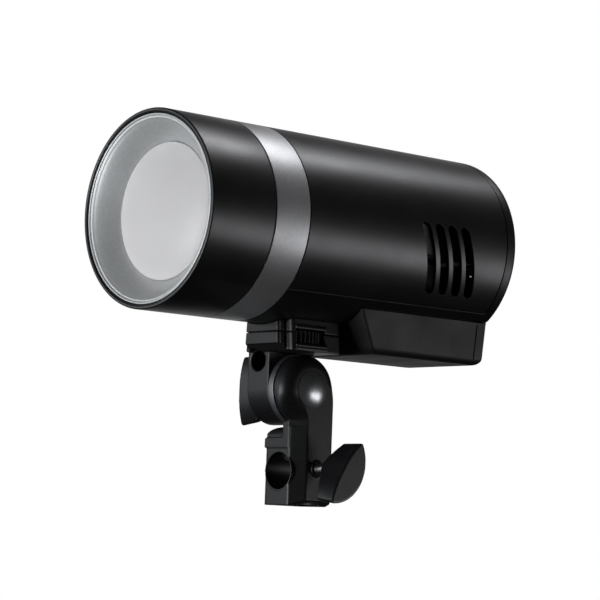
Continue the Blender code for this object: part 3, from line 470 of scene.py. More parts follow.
def fused(shapes, cuts=(), grid=0.0, smoothing=0):
    """Join closed shapes and cut them; a grid remeshes them, which rounds the edges as on a casting."""
    parts = []
    for index, bm in enumerate([*shapes, *cuts]):
        parts.append(as_object(bm, f"shape_{index}"))
    base = parts[0]
    for index, other in enumerate(parts[1:], 1):
        boolean = base.modifiers.new("boolean", "BOOLEAN")
        boolean.operation = "UNION" if index < len(shapes) else "DIFFERENCE"
        boolean.solver = "EXACT"
        boolean.object = other
    if grid:
        remesh = base.modifiers.new("skin", "REMESH")
        remesh.mode = "VOXEL"
        remesh.voxel_size = grid
        smooth = base.modifiers.new("smooth", "SMOOTH")
        smooth.factor = 0.5
        smooth.iterations = smoothing
    mesh = evaluated_mesh(base)
    for part in parts:
        bpy.data.objects.remove(part)
    result = bmesh.new()
    result.from_mesh(mesh)
    bpy.data.meshes.remove(mesh)
    return result


def cast(name, shapes, cuts, finish, body, stands_for, grid, smoothing, draft=0.0, seat=0.0, end=0.0):
    """A casting with soft edges; draft narrows it above its seat and widens it down to its end."""
    bm = fused(shapes, cuts, grid, smoothing)
    if draft:
        for vert in bm.verts:
            vert.co.x *= 1 - draft * (max(vert.co.z, end) - seat)
    return piece(name, bm, finish, body, stands_for, bevel_deg=0)


WELD, FLAT_DEG = 0.005, 1.0                             # joins doubled corners and flat neighbours


def refined(node, finish, bevel, steps=2):
    """A copy of a CAD node with clean flat faces and rounded edges, which stands for the node."""
    bm = bmesh.new()
    bm.from_mesh(frame["nodes"][node].data)
    bmesh.ops.scale(bm, vec=(1 / MM, 1 / MM, 1 / MM), verts=bm.verts)
    bmesh.ops.remove_doubles(bm, verts=bm.verts, dist=WELD)
    bmesh.ops.dissolve_limit(bm, angle_limit=math.radians(FLAT_DEG), verts=bm.verts, edges=bm.edges)
    body = frame["nodes"][node]["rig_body"]
    piece(f"{node}_shell", bm, finish, body, (node,), bevel=bevel, steps=steps)


# ==== lamp head ======================================================================================
def housing_sheet(y_low, y_high, angles, slots):
    """The housing: rows of points run round it; a slot is a pair of lines that part where it opens."""
    bm = bmesh.new()
    rows = []
    for angle in angles:
        half = vent_half_width(angle)
        shift = vent_shift(angle)
        turn = math.radians(angle)
        x, z = TUBE_R * math.cos(turn), HEAD_Z + TUBE_R * math.sin(turn)
        row = [bm.verts.new((x, y_low, z))]
        for place in slots:
            row.append(bm.verts.new((x, place + shift - half, z)))
            row.append(bm.verts.new((x, place + shift + half, z)) if half else row[-1])
        row.append(bm.verts.new((x, y_high, z)))
        rows.append(row)
    for row, following in zip(rows, rows[1:]):
        for index in range(0, len(row) - 1, 2):
            bm.faces.new((row[index], row[index + 1], following[index + 1], following[index]))
    bmesh.ops.recalc_face_normals(bm, faces=bm.faces)
    bm.faces.ensure_lookup_table()
    probe = bm.faces[0]
    outward = probe.calc_center_median() - HEAD
    outward.y = 0
    if probe.normal.dot(outward) < 0:
        bmesh.ops.reverse_faces(bm, faces=bm.faces)
    bmesh.ops.solidify(bm, geom=bm.faces[:], thickness=WALL)
    piece("housing_shell", bm, "black_anodised", "head", ("main_housing",), bevel=0.22, bevel_deg=50, steps=2)


def barrel_and_ring():
    low, high = BARREL_LOW.y, BARREL_HIGH.y
    inner = TUBE_R - WALL
    outline = filleted([
        (inner, low + 0.7, 0.25), (inner + 0.7, low, 0.2), (TUBE_R - 0.4, low, 0.2), (TUBE_R, low + 0.4, 0.3),
        (TUBE_R, high, 0.35), (inner, high, 0.2),
    ])
    piece("barrel_shell", turned(outline, "Y", HEAD, 224), "black_anodised", "head", ("front_barrel",))
    low, high = extent("accent_ring")[0].y, extent("accent_ring")[1].y
    outline = filleted([
        (inner - 1, low, 0.2), (TUBE_R, low, 0.4), (TUBE_R, high, 0.4), (inner - 1, high, 0.2),
    ])
    piece("ring_shell", turned(outline, "Y", HEAD, 224), "silver_anodised", "head", ("accent_ring",))
    seams = ((BARREL_HIGH.y + low) / 2, (high + extent("main_housing")[0].y) / 2,
             (extent("main_housing")[1].y + extent("rear_bezel")[0].y) / 2)
    for number, place in enumerate(seams, 1):
        outline = filleted([
            (inner - 2, place - 1.2), (TUBE_R - 0.9, place - 1.2, 0.1), (TUBE_R - 0.9, place + 1.2, 0.1),
            (inner - 2, place + 1.2),
        ])
        piece(f"seam_gasket_{number}", turned(outline, "Y", HEAD, 160, gasket_ends(number)), "gasket", "head")


def gasket_ends(number):
    """The gasket behind the bezel is open over the battery bay; the front ones are whole."""
    if number < 3:
        return None
    half = extent("battery_case")[1].x + 1.0
    return lambda radius: bay_ends(radius, half)


def bay_ends(radius, half):
    """Arc angles that leave a gap of a given half-width at the bottom of the tube."""
    open_deg = math.degrees(math.acos(min(1.0, half / radius)))
    return -open_deg, 180 + open_deg


VENT_HALF = 2.65
VENT_TOP_DEG, VENT_BOTTOM_DEG = 7.4, -35.8
VENT_FIRST, VENT_PITCH, VENT_COUNT = 128.4, 8.15, 4
VENT_BACK, VENT_LEAN = 5.4, 11.0
SEAM_DEG = 45.0


def vent_half_width(angle):
    """Half the slot's width at an angle round the tube: full in the middle, a half circle at each end."""
    turned_angle = 180 - angle if angle > 90 else angle
    arc_mm = math.radians(1) * TUBE_R
    inside = min(VENT_TOP_DEG - turned_angle, turned_angle - VENT_BOTTOM_DEG) * arc_mm
    if inside <= 0:
        return 0
    if inside >= VENT_HALF:
        return VENT_HALF
    return max(0.0, math.sqrt(VENT_HALF ** 2 - (VENT_HALF - inside) ** 2))


def vent_shift(angle):
    """How far back the slots stand at an angle: they lean back as they run down the side."""
    turned_angle = 180 - angle if angle > 90 else angle
    share = (turned_angle - VENT_BOTTOM_DEG) / (VENT_TOP_DEG - VENT_BOTTOM_DEG)
    return VENT_BACK - VENT_LEAN * min(1.0, max(0.0, share))


def housing():
    low, high = extent("main_housing")[0].y, extent("main_housing")[1].y
    edge = -SEAM_DEG + 0.2
    angles = {edge + (180 - 2 * edge) * step / 150 for step in range(151)}
    tip_deg = math.degrees(VENT_HALF / TUBE_R)
    for tip, way in ((VENT_TOP_DEG, -1), (VENT_BOTTOM_DEG, 1)):
        for step in range(9):
            angle = tip + way * tip_deg * (1 - math.cos(math.pi / 2 * step / 8))
            angles |= {angle, 180 - angle}
    ordered = sorted(angles)
    kept = [ordered[0]]
    for angle in ordered[1:]:
        if angle - kept[-1] > 0.02:
            kept.append(angle)
    slots = [FRONT_Y + VENT_FIRST + VENT_PITCH * number for number in range(VENT_COUNT)]
    housing_sheet(low, high, kept, slots)

    low, high = extent("lower_cover")[0].y, extent("lower_cover")[1].y
    half = extent("battery_case")[1].x + 0.3
    mouth = extent("battery_case")[0].y - 0.3
    open_deg = math.degrees(math.acos(half / TUBE_R))
    angles = [-180 + SEAM_DEG + 0.2, -180 + open_deg]
    angles += [-180 + open_deg + (180 - 2 * open_deg) * step / 30 for step in range(1, 30)]
    angles += [-open_deg, -SEAM_DEG - 0.2]
    cover_sheet(low, mouth, high, angles)


def cover_sheet(low, mouth, high, angles):
    """The lower cover: a sheet whose rear part is open for the battery, except for a strip on each side."""
    bm = bmesh.new()
    rows = []
    for angle in angles:
        turn = math.radians(angle)
        x, z = TUBE_R * math.cos(turn), HEAD_Z + TUBE_R * math.sin(turn)
        rows.append([bm.verts.new((x, y, z)) for y in (low, mouth, high)])
    last = len(rows) - 2
    for number, (row, following) in enumerate(zip(rows, rows[1:])):
        bm.faces.new((row[0], following[0], following[1], row[1]))
        if number in (0, last):
            bm.faces.new((row[1], following[1], following[2], row[2]))
    bmesh.ops.recalc_face_normals(bm, faces=bm.faces)
    bm.faces.ensure_lookup_table()
    if bm.faces[0].normal.z > 0:
        bmesh.ops.reverse_faces(bm, faces=bm.faces)
    bmesh.ops.solidify(bm, geom=bm.faces[:], thickness=WALL)
    piece("cover_shell", bm, "black_plastic", "head", ("lower_cover",), bevel=0.25, bevel_deg=50, steps=2)


def bezel():
    low, high = extent("rear_bezel")[0].y, extent("rear_bezel")[1].y
    inner = extent("rear_panel")[1].x + 0.3
    half = extent("battery_case")[1].x + 0.3
    outline = filleted([
        (inner, low, 0.2), (TUBE_R, low, 0.35), (TUBE_R, high, 4.6), (inner, high, 0.8),
    ], steps=8)
    piece("bezel_shell", turned(outline, "Y", HEAD, 200, lambda radius: bay_ends(radius, half)),
          "black_plastic", "head", ("rear_bezel",))


def light_source():
    low, high = extent("reflector_bowl")
    flange = high.x
    bowl, bowl_y = 38.2, station(1.2)
    dome_low, dome_high = extent("frosted_dome")
    dome_r = dome_high.x
    seat = station(10.0)
    rise = seat - dome_low.y
    mouth = filleted([
        (flange, low.y + 1.6), (flange, low.y, 0.3), (flange - 0.75, low.y - 0.1, 0.4),
        (flange - 1.0, low.y + 0.6, 0.3), (bowl + 0.15, bowl_y - 0.1, 0.3), (bowl - 0.2, bowl_y + 0.3, 0.2),
    ], closed=False)
    sweep = []
    for step in range(1, 15):
        share = step / 15
        radius = bowl - 0.2 + (dome_r + 0.4 - bowl) * share
        sweep.append((radius, bowl_y + 0.3 + (seat - 0.1 - bowl_y) * share ** 1.2))
    back = [(27.0, station(19.4)), (17.0, station(28.8)), (15.0, station(28.8)), (15.0, station(30.0)),
            (17.4, station(30.0)), (28.4, station(20.0)), (dome_r + 1.7, seat + 1.6),
            (flange - 1.2, low.y + 3.4)]
    outline = mouth + sweep + [(dome_r + 0.05, seat + 0.9)] + back
    piece("reflector_shell", turned(outline, "Y", HEAD, 224), "reflector", "head", ("reflector_bowl",))

    crown = []
    for step in range(33):
        turn = math.pi / 2 * step / 32
        radius = dome_r * math.sin(turn)
        crown.append((radius, seat - rise * max(0.0, 1 - (radius / dome_r) ** 2.1) ** 0.72))
    back_y = dome_high.y
    outline = crown + [(dome_r, seat + 0.8), (dome_r - 4.0, back_y), (dome_r - 5.6, back_y),
                       (dome_r - 3.4, seat), (19.0, seat - 3.0), (10.0, seat - 4.2), (0, seat - 4.5)]
    piece("dome_shell", turned(outline, "Y", HEAD, 192), "opal", "head", ("frosted_dome",))


LIP_LEVEL = -31.3                                      # top of the rear lip, just under the rear panel


def battery_shell():
    """The battery: a tapered tub with a sloping front, a rear cap behind a groove, and a raised rear lip."""
    low, high = extent("battery_case")
    deck_half = extent("battery_lid")[1].x
    front, rear = low.y, high.y
    shoulder, drop = level(-34.0), low.z
    slope, draft, under, upright = 10.1, 2.2, 3.2, 1.4
    cap_start = station(174.6)
    heights = [(shoulder, 0.0)]
    for step in range(9):
        turn = math.pi / 2 * step / 8
        heights.append((drop + under * (1 - math.sin(turn)), under * (1 - math.cos(turn))))
    loops = []
    for z, inset in heights:
        share = (shoulder - z) / (shoulder - drop)
        half = high.x - draft * share - inset
        near, far = front + slope * share + inset, rear - inset
        outline = rounded(2 * half, far - near, upright, (0, (near + far) / 2), 4)
        loops.append([(x, y, z) for x, y in outline])
    lip = block((-high.x + 0.4, rear - 2.4, shoulder - 0.2), (high.x - 0.4, rear - 0.3, level(LIP_LEVEL)))
    groove = block((-40, cap_start - 0.35, drop - 5), (40, cap_start + 0.35, shoulder - 1.0))
    keep_x = high.x - draft - 0.15
    keep = block((-keep_x, cap_start - 2, drop + 0.6), (keep_x, cap_start + 2, shoulder + 1))
    band = fused([groove], [keep])
    piece("battery_tub", fused([lofted(loops), lip], [band]), "grey_plastic", "battery", ("battery_case",),
          bevel=0.25, bevel_deg=30, steps=2)
    deck_top = extent("battery_lid")[0].z - GAP
    deck = block((-deck_half, front + 4.0, shoulder - 2.0), (deck_half, rear - 0.2, deck_top))
    piece("battery_deck", deck, "grey_plastic", "battery", (), bevel=0.5)
    refined("battery_lid", "grey_plastic", 0.3)
    refined("battery_latch", "black_plastic", 0.5)


# ==== rear controls ==================================================================================
def rear_controls():
    refined("rear_panel", "black_plastic", 0.25)
    refined("display_window", "clear", 0.25)
    refined("sensor_window", "red_lens", 0.3)
    refined("sync_socket", "steel", 0.15)
    refined("usb_socket", "steel", 0.12)
    for node in KEYS:
        refined(node, "grey_plastic", 0.55, steps=4)
    dial_and_set()
    markings()


def dial_and_set():
    low, high = extent("select_dial")
    outer = high.x
    hub = extent("set_button")[1].x
    bm = bmesh.new()
    profile = filleted([
        (hub + 0.3, low.y), (outer - 0.35, low.y, 0.3), (outer - 0.35, high.y, 1.3), (hub + 1.4, high.y, 0.5),
        (hub + 0.3, high.y - 1.1, 0.3),
    ])
    merge(bm, turned(profile, "Y", HEAD, 144))
    ribs = 40
    for number in range(ribs):
        turn = 2 * math.pi * number / ribs
        centre = (outer - 0.42) * Vector((math.cos(turn), 0, math.sin(turn))) + HEAD
        merge(bm, rod("Y", centre, 0.42, low.y + 0.8, high.y - 1.6, 10))
    piece("dial_knob", bm, "black_plastic", "dial", ("select_dial",))
    low, high = extent("set_button")
    profile = [(0, low.y), (hub, low.y)] + filleted([
        (hub, low.y), (hub, high.y, 0.7), (hub - 2.0, high.y - 0.1, 0.8), (0, high.y - 0.75),
    ], closed=False)[1:]
    piece("set_cap", turned(profile, "Y", HEAD, 72), "grey_plastic", "set_key", ("set_button",))


MARK_PROUD = 0.06
KEYS = ("mode_button", "menu_button", "group_button", "lamp_button", "test_button", "power_button")


def mark_strip(bm, x, z, width, height, y):
    """A thin printed mark that stands a hair proud of the panel."""
    corner = min(width, height) * 0.3
    merge(bm, prism(rounded(width, height, corner, (x, z), 2), "Y", y, y + MARK_PROUD))


def markings():
    """Plain marks without words: ticks round the dial and one simple sign beside each key."""
    panel = extent("rear_panel")[1].y + 0.02
    bm = bmesh.new()
    dial_r = extent("select_dial")[1].x
    for number in range(11):
        turn = math.radians(20 + 14 * number)
        mid = HEAD + Vector(((dial_r + 1.7) * math.cos(turn), 0, (dial_r + 1.7) * math.sin(turn)))
        mark_strip(bm, mid.x, mid.z, 0.6, 0.6, panel)
    piece("dial_ticks", bm, "mark", "head")
    for node in KEYS:
        low, high = extent(node)
        mid = (low + high) / 2
        face = high.y + 0.01
        sign = bmesh.new()
        if node == "menu_button":
            for step in (-1, 0, 1):
                mark_strip(sign, mid.x, mid.z + step * 0.9, 2.6, 0.35, face)
        elif node in ("test_button", "lamp_button"):
            for step in range(8):
                turn = math.pi * step / 4
                mark_strip(sign, mid.x + 1.3 * math.cos(turn), mid.z + 1.3 * math.sin(turn), 0.4, 0.4, face)
            mark_strip(sign, mid.x, mid.z, 0.9, 0.9, face)
        elif node == "power_button":
            merge(sign, turned([(1.2, face), (1.5, face), (1.5, face + MARK_PROUD), (1.2, face + MARK_PROUD)],
                               "Y", (mid.x, 0, mid.z), 40, lambda radius: (-240, 60)))
            mark_strip(sign, mid.x, mid.z + 1.1, 0.32, 1.5, face)
        else:
            mark_strip(sign, mid.x - 0.9, mid.z, 0.9, 0.9, face)
            mark_strip(sign, mid.x + 0.9, mid.z, 0.9, 0.9, face)
        piece(f"{node}_sign", sign, "mark", frame["nodes"][node]["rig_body"])


# ==== foot, plate and tilt joint =======================================================================
UMBRELLA_X, UMBRELLA_LEVEL, UMBRELLA_R = -8.3, -57.9, 4.3


def foot_and_plate():
    foot_low, foot_high = extent("mounting_foot")
    half, tongue = foot_high.x, foot_high.x - 4.7
    front, back = foot_low.y, foot_high.y
    wide = front + 4.4
    wheel_low, wheel_high = extent("lock_thumbwheel")
    wheel = middle("lock_thumbwheel")
    window_low, window_high = station(73.0), station(90.0)

    right = [(tongue, front, 0.7), (tongue, front + 0.9, 0.2), (tongue + 1.1, front + 1.3, 1.0),
             (tongue + 1.1, wide - 0.6, 0.8), (tongue + 0.5, wide, 0.3), (half, wide, 2.4), (half, back, 2.6)]
    plan = filleted(right + [(-p[0], *p[1:]) for p in reversed(right)])

    def window():
        return block((-half - 4, window_low, wheel_low.z - GAP), (half + 4, window_high, wheel_high.z + GAP))

    def lips():
        """A rounded bar above and below the window on each side."""
        bars = []
        for side in (-1, 1):
            for z in (wheel_low.z - 1.2, wheel_high.z + 1.2):
                bars.append(rod("Y", (side * (half - 0.3), 0, z), 1.1, window_low, window_high + 1.0, 32))
        return bars

    def pocket():
        return rod("Z", (0, wheel.y, 0), wheel_high.x + GAP, wheel_low.z - 0.5, wheel_high.z + 0.5)

    seam = block((-40, front - 10, foot_low.z - 10), (40, back + 10, foot_low.z))
    above = block((-40, front - 10, PLATE_HIGH.z), (40, back + 10, foot_high.z + 10))
    tube = rod("Y", HEAD, TUBE_R + 0.25, front - 5, back + 5, 160)
    cast("foot_casting", [prism(plan, "Z", foot_low.z, level(-39.0)), *lips()],
         [window(), pocket(), tube, seam], "cast_black", "head", ("mounting_foot",),
         grid=0.26, smoothing=3, draft=0.006, seat=foot_low.z)

    low_z = level(-54.0)
    under = [(front - 4, level(-51.3)), (front + 1.4, level(-51.3)), (wide, low_z - 0.1),
             (front - 4, low_z - 3)]
    radius = TILT.z - PLATE_LOW.z
    side = arc((TILT.y, TILT.z), radius, 180, 360, 48)
    side += [(back - 1.0, low_z + 1), (TILT.y - radius, low_z + 1)]
    knuckle = prism(side, "X", -14.4, extent("friction_washer")[0].x - 0.3)
    shaft_axis = (UMBRELLA_X, 0, level(UMBRELLA_LEVEL))
    umbrella = rod("Y", shaft_axis, UMBRELLA_R, front - 10, back + 10)
    flare = turned([(0, front - 20), (5.1, front - 20), (5.1, TILT.y - radius - 0.2),
                    (4.2, TILT.y - radius + 0.6), (0, TILT.y - radius + 0.9)], "Y", shaft_axis, 64)
    bore = rod("X", TILT, 3.3, -20, 5)
    cast("plate_casting", [prism(plan, "Z", low_z, PLATE_HIGH.z), knuckle, *lips()],
         [prism(under, "X", -20, 20), window(), pocket(), umbrella, flare, bore, above], "cast_black", "head",
         ("quick_release_plate",), grid=0.28, smoothing=3, draft=0.006, seat=foot_low.z, end=low_z)

    radius = wheel_high.x
    teeth = 44
    outline = []
    for step in range(teeth * 8):
        turn = 2 * math.pi * step / (teeth * 8)
        wave = 0.5 + 0.5 * math.cos(teeth * turn)
        reach = radius - 0.85 * (1 - wave ** 0.6)
        outline.append((reach * math.cos(turn), wheel.y + reach * math.sin(turn)))
    piece("thumbwheel_knurled", prism(outline, "Z", wheel_low.z, wheel_high.z), "grey_plastic", "plate_wheel",
          ("lock_thumbwheel",), bevel=0.3, bevel_deg=60)


TILT_GRIP_IN, TILT_GRIP_DEG = -21.7, 90.0
CLAMP_GRIP_SHIFT, CLAMP_GRIP_DEG = -3.3, 57.6


def grip(name, axis_point, x_inner, x_outer, turn_deg, shift, node, body, hub=None):
    """A lever: bowed thumb side and crowned back that meet at blunt tips; its inner end swells to a hub."""
    half, flat, crown, bow, blunt = 15.5, 5.0, 7.3, 2.2, 1.2
    swell, spread, taper = 4.6, 7.5, 0.90
    rise = crown + flat - bow - blunt
    radius = (half * half + rise * rise) / (2 * rise)
    sweep = math.degrees(math.asin(half / radius))
    local = []
    for step in range(33):
        share = -1 + step / 16
        local.append((share * (half - 0.5), -flat + bow * abs(share) ** 2.4))
    local += arc((0, crown - radius), radius, 90 - sweep, 90 + sweep, 48)
    turn = math.radians(turn_deg)
    way = math.copysign(1, x_inner - x_outer)
    loops = []
    for scale, end, hump in ((taper, x_inner, way * swell), (1.0, x_outer, 0.0)):
        loop = []
        for u, v in local:
            along = (u * scale if u < 0 else u) + shift
            x = end + hump * math.exp(-(along / spread) ** 2)
            loop.append((x, axis_point.y + along * math.cos(turn) + v * math.sin(turn),
                         axis_point.z + along * math.sin(turn) - v * math.cos(turn)))
        loops.append(loop)
    shapes = [lofted(loops)]
    if hub:
        shapes.append(rod("X", (0, axis_point.y, axis_point.z), hub[0], hub[1], hub[2]))
    cast(name, shapes, [], "lever_black", body, (node,), grid=0.3, smoothing=8)


def tilt_joint():
    low, high = extent("friction_washer")
    outer = (high.z - low.z) / 2
    outline = filleted([(3.4, low.x), (outer, low.x, 0.2), (outer, high.x, 0.2), (3.4, high.x)])
    piece("washer_disc", turned(outline, "X", (0, TILT.y, TILT.z), 128), "light_grey", "stand_bracket",
          ("friction_washer",))
    low, high = extent("pivot_bolt")
    cap_r = (high.z - low.z) / 2
    seat = ARM_OUT + 0.3
    rise = high.x - seat
    ball = (cap_r * cap_r + rise * rise) / (2 * rise)
    sweep = math.degrees(math.asin(cap_r / ball))
    dome = []
    for along, radius in arc((high.x - ball, 0), ball, sweep, 0, 20):
        dome.append((max(0.0, radius), along))
    dome[-1] = (0, high.x)
    outline = [(0, low.x), (2.6, low.x), (3.0, low.x + 0.4), (3.0, seat), (cap_r - 0.2, seat - 0.3)] + dome
    piece("bolt_cap", turned(outline, "X", (0, TILT.y, TILT.z), 96), "cap_grey", "stand_bracket",
          ("pivot_bolt",), bevel_deg=60)
    low, high = extent("tilt_lock_handle")
    grip("tilt_lever_cap", TILT, TILT_GRIP_IN, low.x, TILT_GRIP_DEG, 0, "tilt_lock_handle", "tilt_lever",
         (7.2, TILT_GRIP_IN - 1.3, high.x))


# ==== bracket ==========================================================================================
FRONT_CHAMFER, BACK_CHAMFER = 5.6, 3.0
SOCKET_LEFT = -11.1
BORE_R = 8.0
CROSS_BORE_X, CROSS_BORE_DROP = -1.8, 1.1              # place of the cross bore; the drop is from the clamp
FOOT_RISE = 2.8                                        # how far the sloping edge climbs under the arm


def smooth_step(value, start, end):
    share = min(1.0, max(0.0, (value - start) / (end - start)))
    return share * share * (3 - 2 * share)


def arm_plate(bottom):
    """The arm: a round head flows into a straight neck; a wide rounded edge runs down to a flat chamfer."""
    disc_r, face_r, edge_x = 15.3, 8.6, 4.4
    outer = []
    for step in range(13):
        outer.append((-NECK_HALF, bottom + (TILT.z - 13.6 - bottom) * step / 12))
    start = 180 + math.degrees(math.acos((NECK_HALF + TILT.y) / disc_r))
    for step in range(1, 73):
        turn = math.radians(start - start * step / 72)
        outer.append((TILT.y + disc_r * math.cos(turn), TILT.z + disc_r * math.sin(turn)))
    for step in range(1, 25):
        share = step / 24
        y = TILT.y + disc_r + (NECK_HALF - TILT.y - disc_r) * smooth_step(share, 0, 0.3)
        outer.append((y, TILT.z + (bottom - TILT.z) * share))
    inner, blend = [], []
    for y, z in outer:
        front = y < TILT.y
        line = -NECK_HALF + FRONT_CHAMFER if front else NECK_HALF - BACK_CHAMFER
        turn = math.atan2(z - TILT.z, y - TILT.y)
        ring = (TILT.y + face_r * math.cos(turn), TILT.z + face_r * math.sin(turn))
        fade_low, fade_high = (-15.5, -0.5) if front else (-4, 8)
        share = smooth_step(z, TILT.z + fade_low, TILT.z + fade_high)
        inner.append((line + (ring[0] - line) * share, z + (ring[1] - z) * share))
        blend.append(share)
    loops = [[(ARM_IN, y, z) for y, z in outer]]
    steps = 9
    for step in range(steps + 1):
        u = step / steps
        loop = []
        for (y, z), (iy, iz), share in zip(outer, inner, blend):
            start_x = edge_x if y < TILT.y else edge_x + (ARM_OUT - BACK_CHAMFER - edge_x) * (1 - share)
            round_u, round_x = 1 - math.cos(u * math.pi / 2), math.sin(u * math.pi / 2)
            mix_u, mix_x = u + (round_u - u) * share, u + (round_x - u) * share
            x = start_x + (ARM_OUT - start_x) * mix_x
            loop.append((x, y + (iy - y) * mix_u, z + (iz - z) * mix_u))
        loops.append(loop)
    bm = lofted(loops)
    bmesh.ops.triangulate(bm, faces=[face for face in bm.faces if len(face.verts) > 4])
    return bm


def bracket():
    front, back = -NECK_HALF, NECK_HALF
    floor, socket_top = ARM_FLOOR, level(-86.3)

    plan = filleted([
        (SOCKET_LEFT, back, 2.0), (SOCKET_LEFT, front, 2.2), (ARM_OUT - FRONT_CHAMFER, front, 0.6),
        (ARM_OUT, front + FRONT_CHAMFER, 0.6), (ARM_OUT, back - BACK_CHAMFER, 1.2),
        (ARM_OUT - BACK_CHAMFER, back, 1.0),
    ])
    wide, tall = 7.6, 5.6
    side_hollow = [(SOCKET_LEFT - 2, socket_top - tall), (SOCKET_LEFT - 2, socket_top + 2),
                   (SOCKET_LEFT + wide, socket_top + 2)]
    for x, z in arc((0, 0), 1, 90, 180, 16):
        side_hollow.append((SOCKET_LEFT + wide + x * wide, socket_top - tall + z * tall))
    ease = 4.6
    front_hollow = [(front - 2, socket_top - ease), (front - 2, socket_top + 2),
                    (front + ease, socket_top + 2)]
    front_hollow += arc((front + ease, socket_top - ease), ease, 90, 180, 12)
    back_hollow = [(-y, z) for y, z in front_hollow]
    band_low, band_top = level(-95.5), level(-91.3)
    proud, strip = 0.3, ARM_OUT - FRONT_CHAMFER - 0.5
    cross = Vector((CROSS_BORE_X, 0, CLAMP.z - CROSS_BORE_DROP))
    wedge = [(ARM_OUT - FRONT_CHAMFER, floor - 1), (ARM_OUT + 1, floor - 1), (ARM_OUT + 1, floor + FOOT_RISE),
             (ARM_OUT - FRONT_CHAMFER, floor)]
    cap_r = extent("pivot_bolt")[1].z - TILT.z
    washer_r = extent("friction_washer")[1].z - TILT.z
    washer_end = extent("friction_washer")[1].x + GAP
    shapes = [
        prism(plan, "Z", floor, socket_top),
        block((SOCKET_LEFT - 0.1, front - proud, band_low), (strip, front + 3.0, band_top)),
        block((ARM_IN, front - proud, band_low), (strip, front + 3.0, TILT.z - 14.0)),
        arm_plate(socket_top - 4.0),
        turned([(0, ARM_OUT - 1), (3.9, ARM_OUT - 1), (3.4, ARM_OUT + 0.8), (0, ARM_OUT + 0.8)], "X",
               (0, CLAMP.y, CLAMP.z), 64),
        rod("Y", cross, BORE_R + 0.6, front - 0.1, back + 0.1, 96),
    ]
    cuts = [
        prism(side_hollow, "Y", -THROUGH, THROUGH),
        prism(front_hollow, "X", SOCKET_LEFT - 2, ARM_IN - 0.02),
        prism(back_hollow, "X", SOCKET_LEFT - 2, ARM_IN - 0.02),
        turned([(3.3, -3), (washer_r + GAP, -3), (washer_r + GAP, washer_end), (3.3, washer_end + 0.01)], "X",
               TILT, 140),
        turned([(cap_r - 0.4, ARM_OUT - 0.6), (cap_r + 0.5, ARM_OUT - 0.6), (cap_r + 0.7, ARM_OUT + 1),
                (cap_r - 0.4, ARM_OUT + 1)], "X", TILT, 98),
        rod("X", CLAMP, 2.9, 3.1, 30, 46),
        rod("Z", (0, 0, 0), BORE_R, floor - 3, 0, 90),
        rod("Y", cross, BORE_R, -THROUGH, THROUGH, 94),
        prism(wedge, "Y", -THROUGH, THROUGH),
        turned([(0, floor - 1), (BORE_R + 1.6, floor - 1), (BORE_R, floor + 0.7), (0, floor + 0.7)], "Z",
               (0, 0, 0), 90),
    ]
    cast("arm_casting", shapes, cuts, "cast_black", "stand_bracket", ("bracket_arm",), grid=0.28, smoothing=3)

    low, high = extent("clamp_screw")
    neck = ARM_OUT + 0.8
    outline = [(0, low.x), (2.0, low.x), (2.45, low.x + 0.5)]
    pitch = 0.8
    for number in range(int((neck - low.x - 0.8) / pitch)):
        at = low.x + 0.7 + pitch * number
        outline += [(2.6, at), (2.35, at + pitch / 2)]
    outline += [(2.3, neck), (2.3, neck + 0.4), (2.5, neck + 0.6), (2.5, high.x), (0, high.x)]
    piece("clamp_thread", turned(outline, "X", CLAMP, 64), "steel", "stand_clamp", ("clamp_screw",))
    low, high = extent("clamp_handle")
    grip("clamp_lever_cap", CLAMP, low.x, high.x, CLAMP_GRIP_DEG, CLAMP_GRIP_SHIFT, "clamp_handle",
         "stand_clamp")


# ==== finishes of the pieces that keep their CAD shape ==================================================
def dress_cad_nodes():
    slot_of = {entry["node"]: entry["material_slot"] for entry in frame["record"]["subparts"]}
    for name, obj in frame["nodes"].items():
        obj.data.materials.clear()
        obj.data.materials.append(FINISHES[slot_of[name]])


# ==== studio ===========================================================================================
AIM = Vector((0.0, 0.0, 0.06))                         # metres, as are all places from here on
BACKDROP = (-0.733, 0.673, 0.097)                      # where the pale background stands
BACKDROP_EDGE, BACKDROP_GLOW = 0.84, 0.75
AMBIENT = 0.010
PALE, COOL = (0.965, 0.972, 1.0), (0.955, 0.985, 1.0)
FLOOR_Z, FLOOR_HALF = -0.36, 4.0
CAMERA_PLACE = (0.8137, -0.7503, -0.0469)
CAMERA_RIGHT = (0.67816, 0.73397, 0.03649)
CAMERA_UP = (0.04699, -0.09282, 0.99457)
LENS, SENSOR = 151.46, 36


def area_light(name, place, size, watts, tint):
    """A soft box that faces the object."""
    data = bpy.data.lights.new(name, "AREA")
    data.shape = "RECTANGLE"
    data.size, data.size_y = size
    data.energy = watts
    data.color = tint
    obj = bpy.data.objects.new(name, data)
    obj.location = place
    obj.rotation_euler = (AIM - Vector(place)).to_track_quat("-Z", "Y").to_euler()
    bpy.context.scene.collection.objects.link(obj)


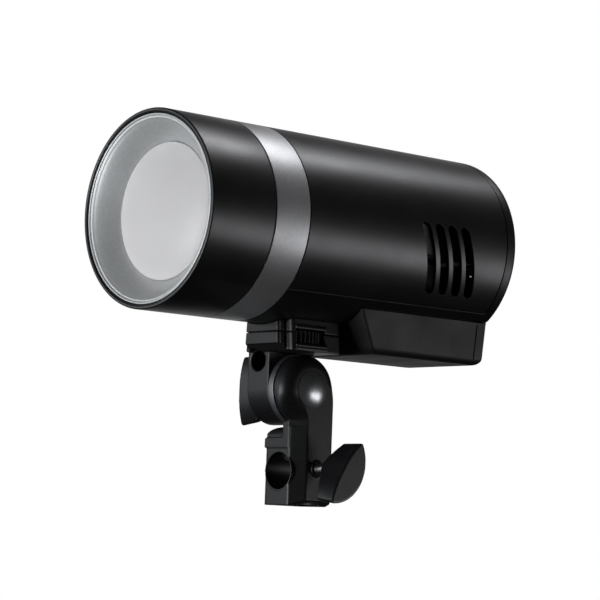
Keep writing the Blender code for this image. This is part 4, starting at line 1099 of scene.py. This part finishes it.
def studio():
    area_light("top_strip", (0.12, 0.60, 1.10), (0.16, 0.50), 4.2, PALE)
    area_light("right_strip", (1.02, 1.00, -0.29), (1.0, 0.34), 4.5, PALE)
    area_light("left_front", (-1.15, -1.10, 0.25), (0.8, 0.6), 2.4, COOL)
    area_light("front_key", (-0.20, -1.50, -0.25), (0.7, 0.7), 23.0, COOL)

    world = bpy.data.worlds.new("studio")
    bpy.context.scene.world = world
    world.use_nodes = True
    tree = world.node_tree
    ground = tree.nodes["Background"]
    input_of(ground, "Color", (1, 1, 1, 1))
    path = tree.nodes.new("ShaderNodeLightPath")
    place = tree.nodes.new("ShaderNodeTexCoord")
    facing = tree.nodes.new("ShaderNodeVectorMath")
    facing.operation = "DOT_PRODUCT"
    facing.inputs[1].default_value = BACKDROP
    tree.links.new(place.outputs["Generated"], facing.inputs[0])
    paper = tree.nodes.new("ShaderNodeMapRange")
    paper.interpolation_type = "SMOOTHSTEP"
    for name, value in (("From Min", BACKDROP_EDGE), ("From Max", 1.0), ("To Min", AMBIENT),
                        ("To Max", BACKDROP_GLOW)):
        input_of(paper, name, value)
    tree.links.new(facing.outputs["Value"], paper.inputs["Value"])
    seen = tree.nodes.new("ShaderNodeMix")
    tree.links.new(path.outputs["Is Camera Ray"], seen.inputs[MIX_FACTOR])
    tree.links.new(paper.outputs["Result"], seen.inputs[NUMBER_FIRST])
    seen.inputs[NUMBER_SECOND].default_value = 1.0
    tree.links.new(seen.outputs[0], ground.inputs["Strength"])

    floor_bm = bmesh.new()
    bmesh.ops.create_grid(floor_bm, x_segments=8, y_segments=8, size=FLOOR_HALF)
    mesh = bpy.data.meshes.new("floor")
    floor_bm.to_mesh(mesh)
    floor_bm.free()
    floor = bpy.data.objects.new("floor", mesh)
    floor.location = (0, 0, FLOOR_Z)
    bpy.context.scene.collection.objects.link(floor)
    paper = Finish("paper", (0.9, 0.9, 0.9), 0.8)
    paper.vary_colour(paper.noise(3, 2), (0.88, 0.88, 0.88))
    paper.bump(paper.noise(400, 2), 0.05, 0.05)
    mesh.materials.append(paper.material)
    floor.visible_glossy = False
    floor.visible_diffuse = False


def camera():
    """Seen from the front right, a little below the head, with a long lens and a slight roll."""
    right, up = Vector(CAMERA_RIGHT), Vector(CAMERA_UP)
    back = right.cross(up)
    data = bpy.data.cameras.new("camera")
    data.lens = LENS
    data.sensor_width = SENSOR
    data.clip_start = 0.05
    obj = bpy.data.objects.new("camera", data)
    rotation = Matrix((right, up, back)).transposed()
    obj.matrix_world = Matrix.Translation(CAMERA_PLACE) @ rotation.to_4x4()
    bpy.context.scene.collection.objects.link(obj)
    bpy.context.scene.camera = obj
    bpy.context.scene.view_settings.view_transform = "Standard"


dress_cad_nodes()
barrel_and_ring()
housing()
bezel()
light_source()
battery_shell()
rear_controls()
foot_and_plate()
tilt_joint()
bracket()
studio()
camera()
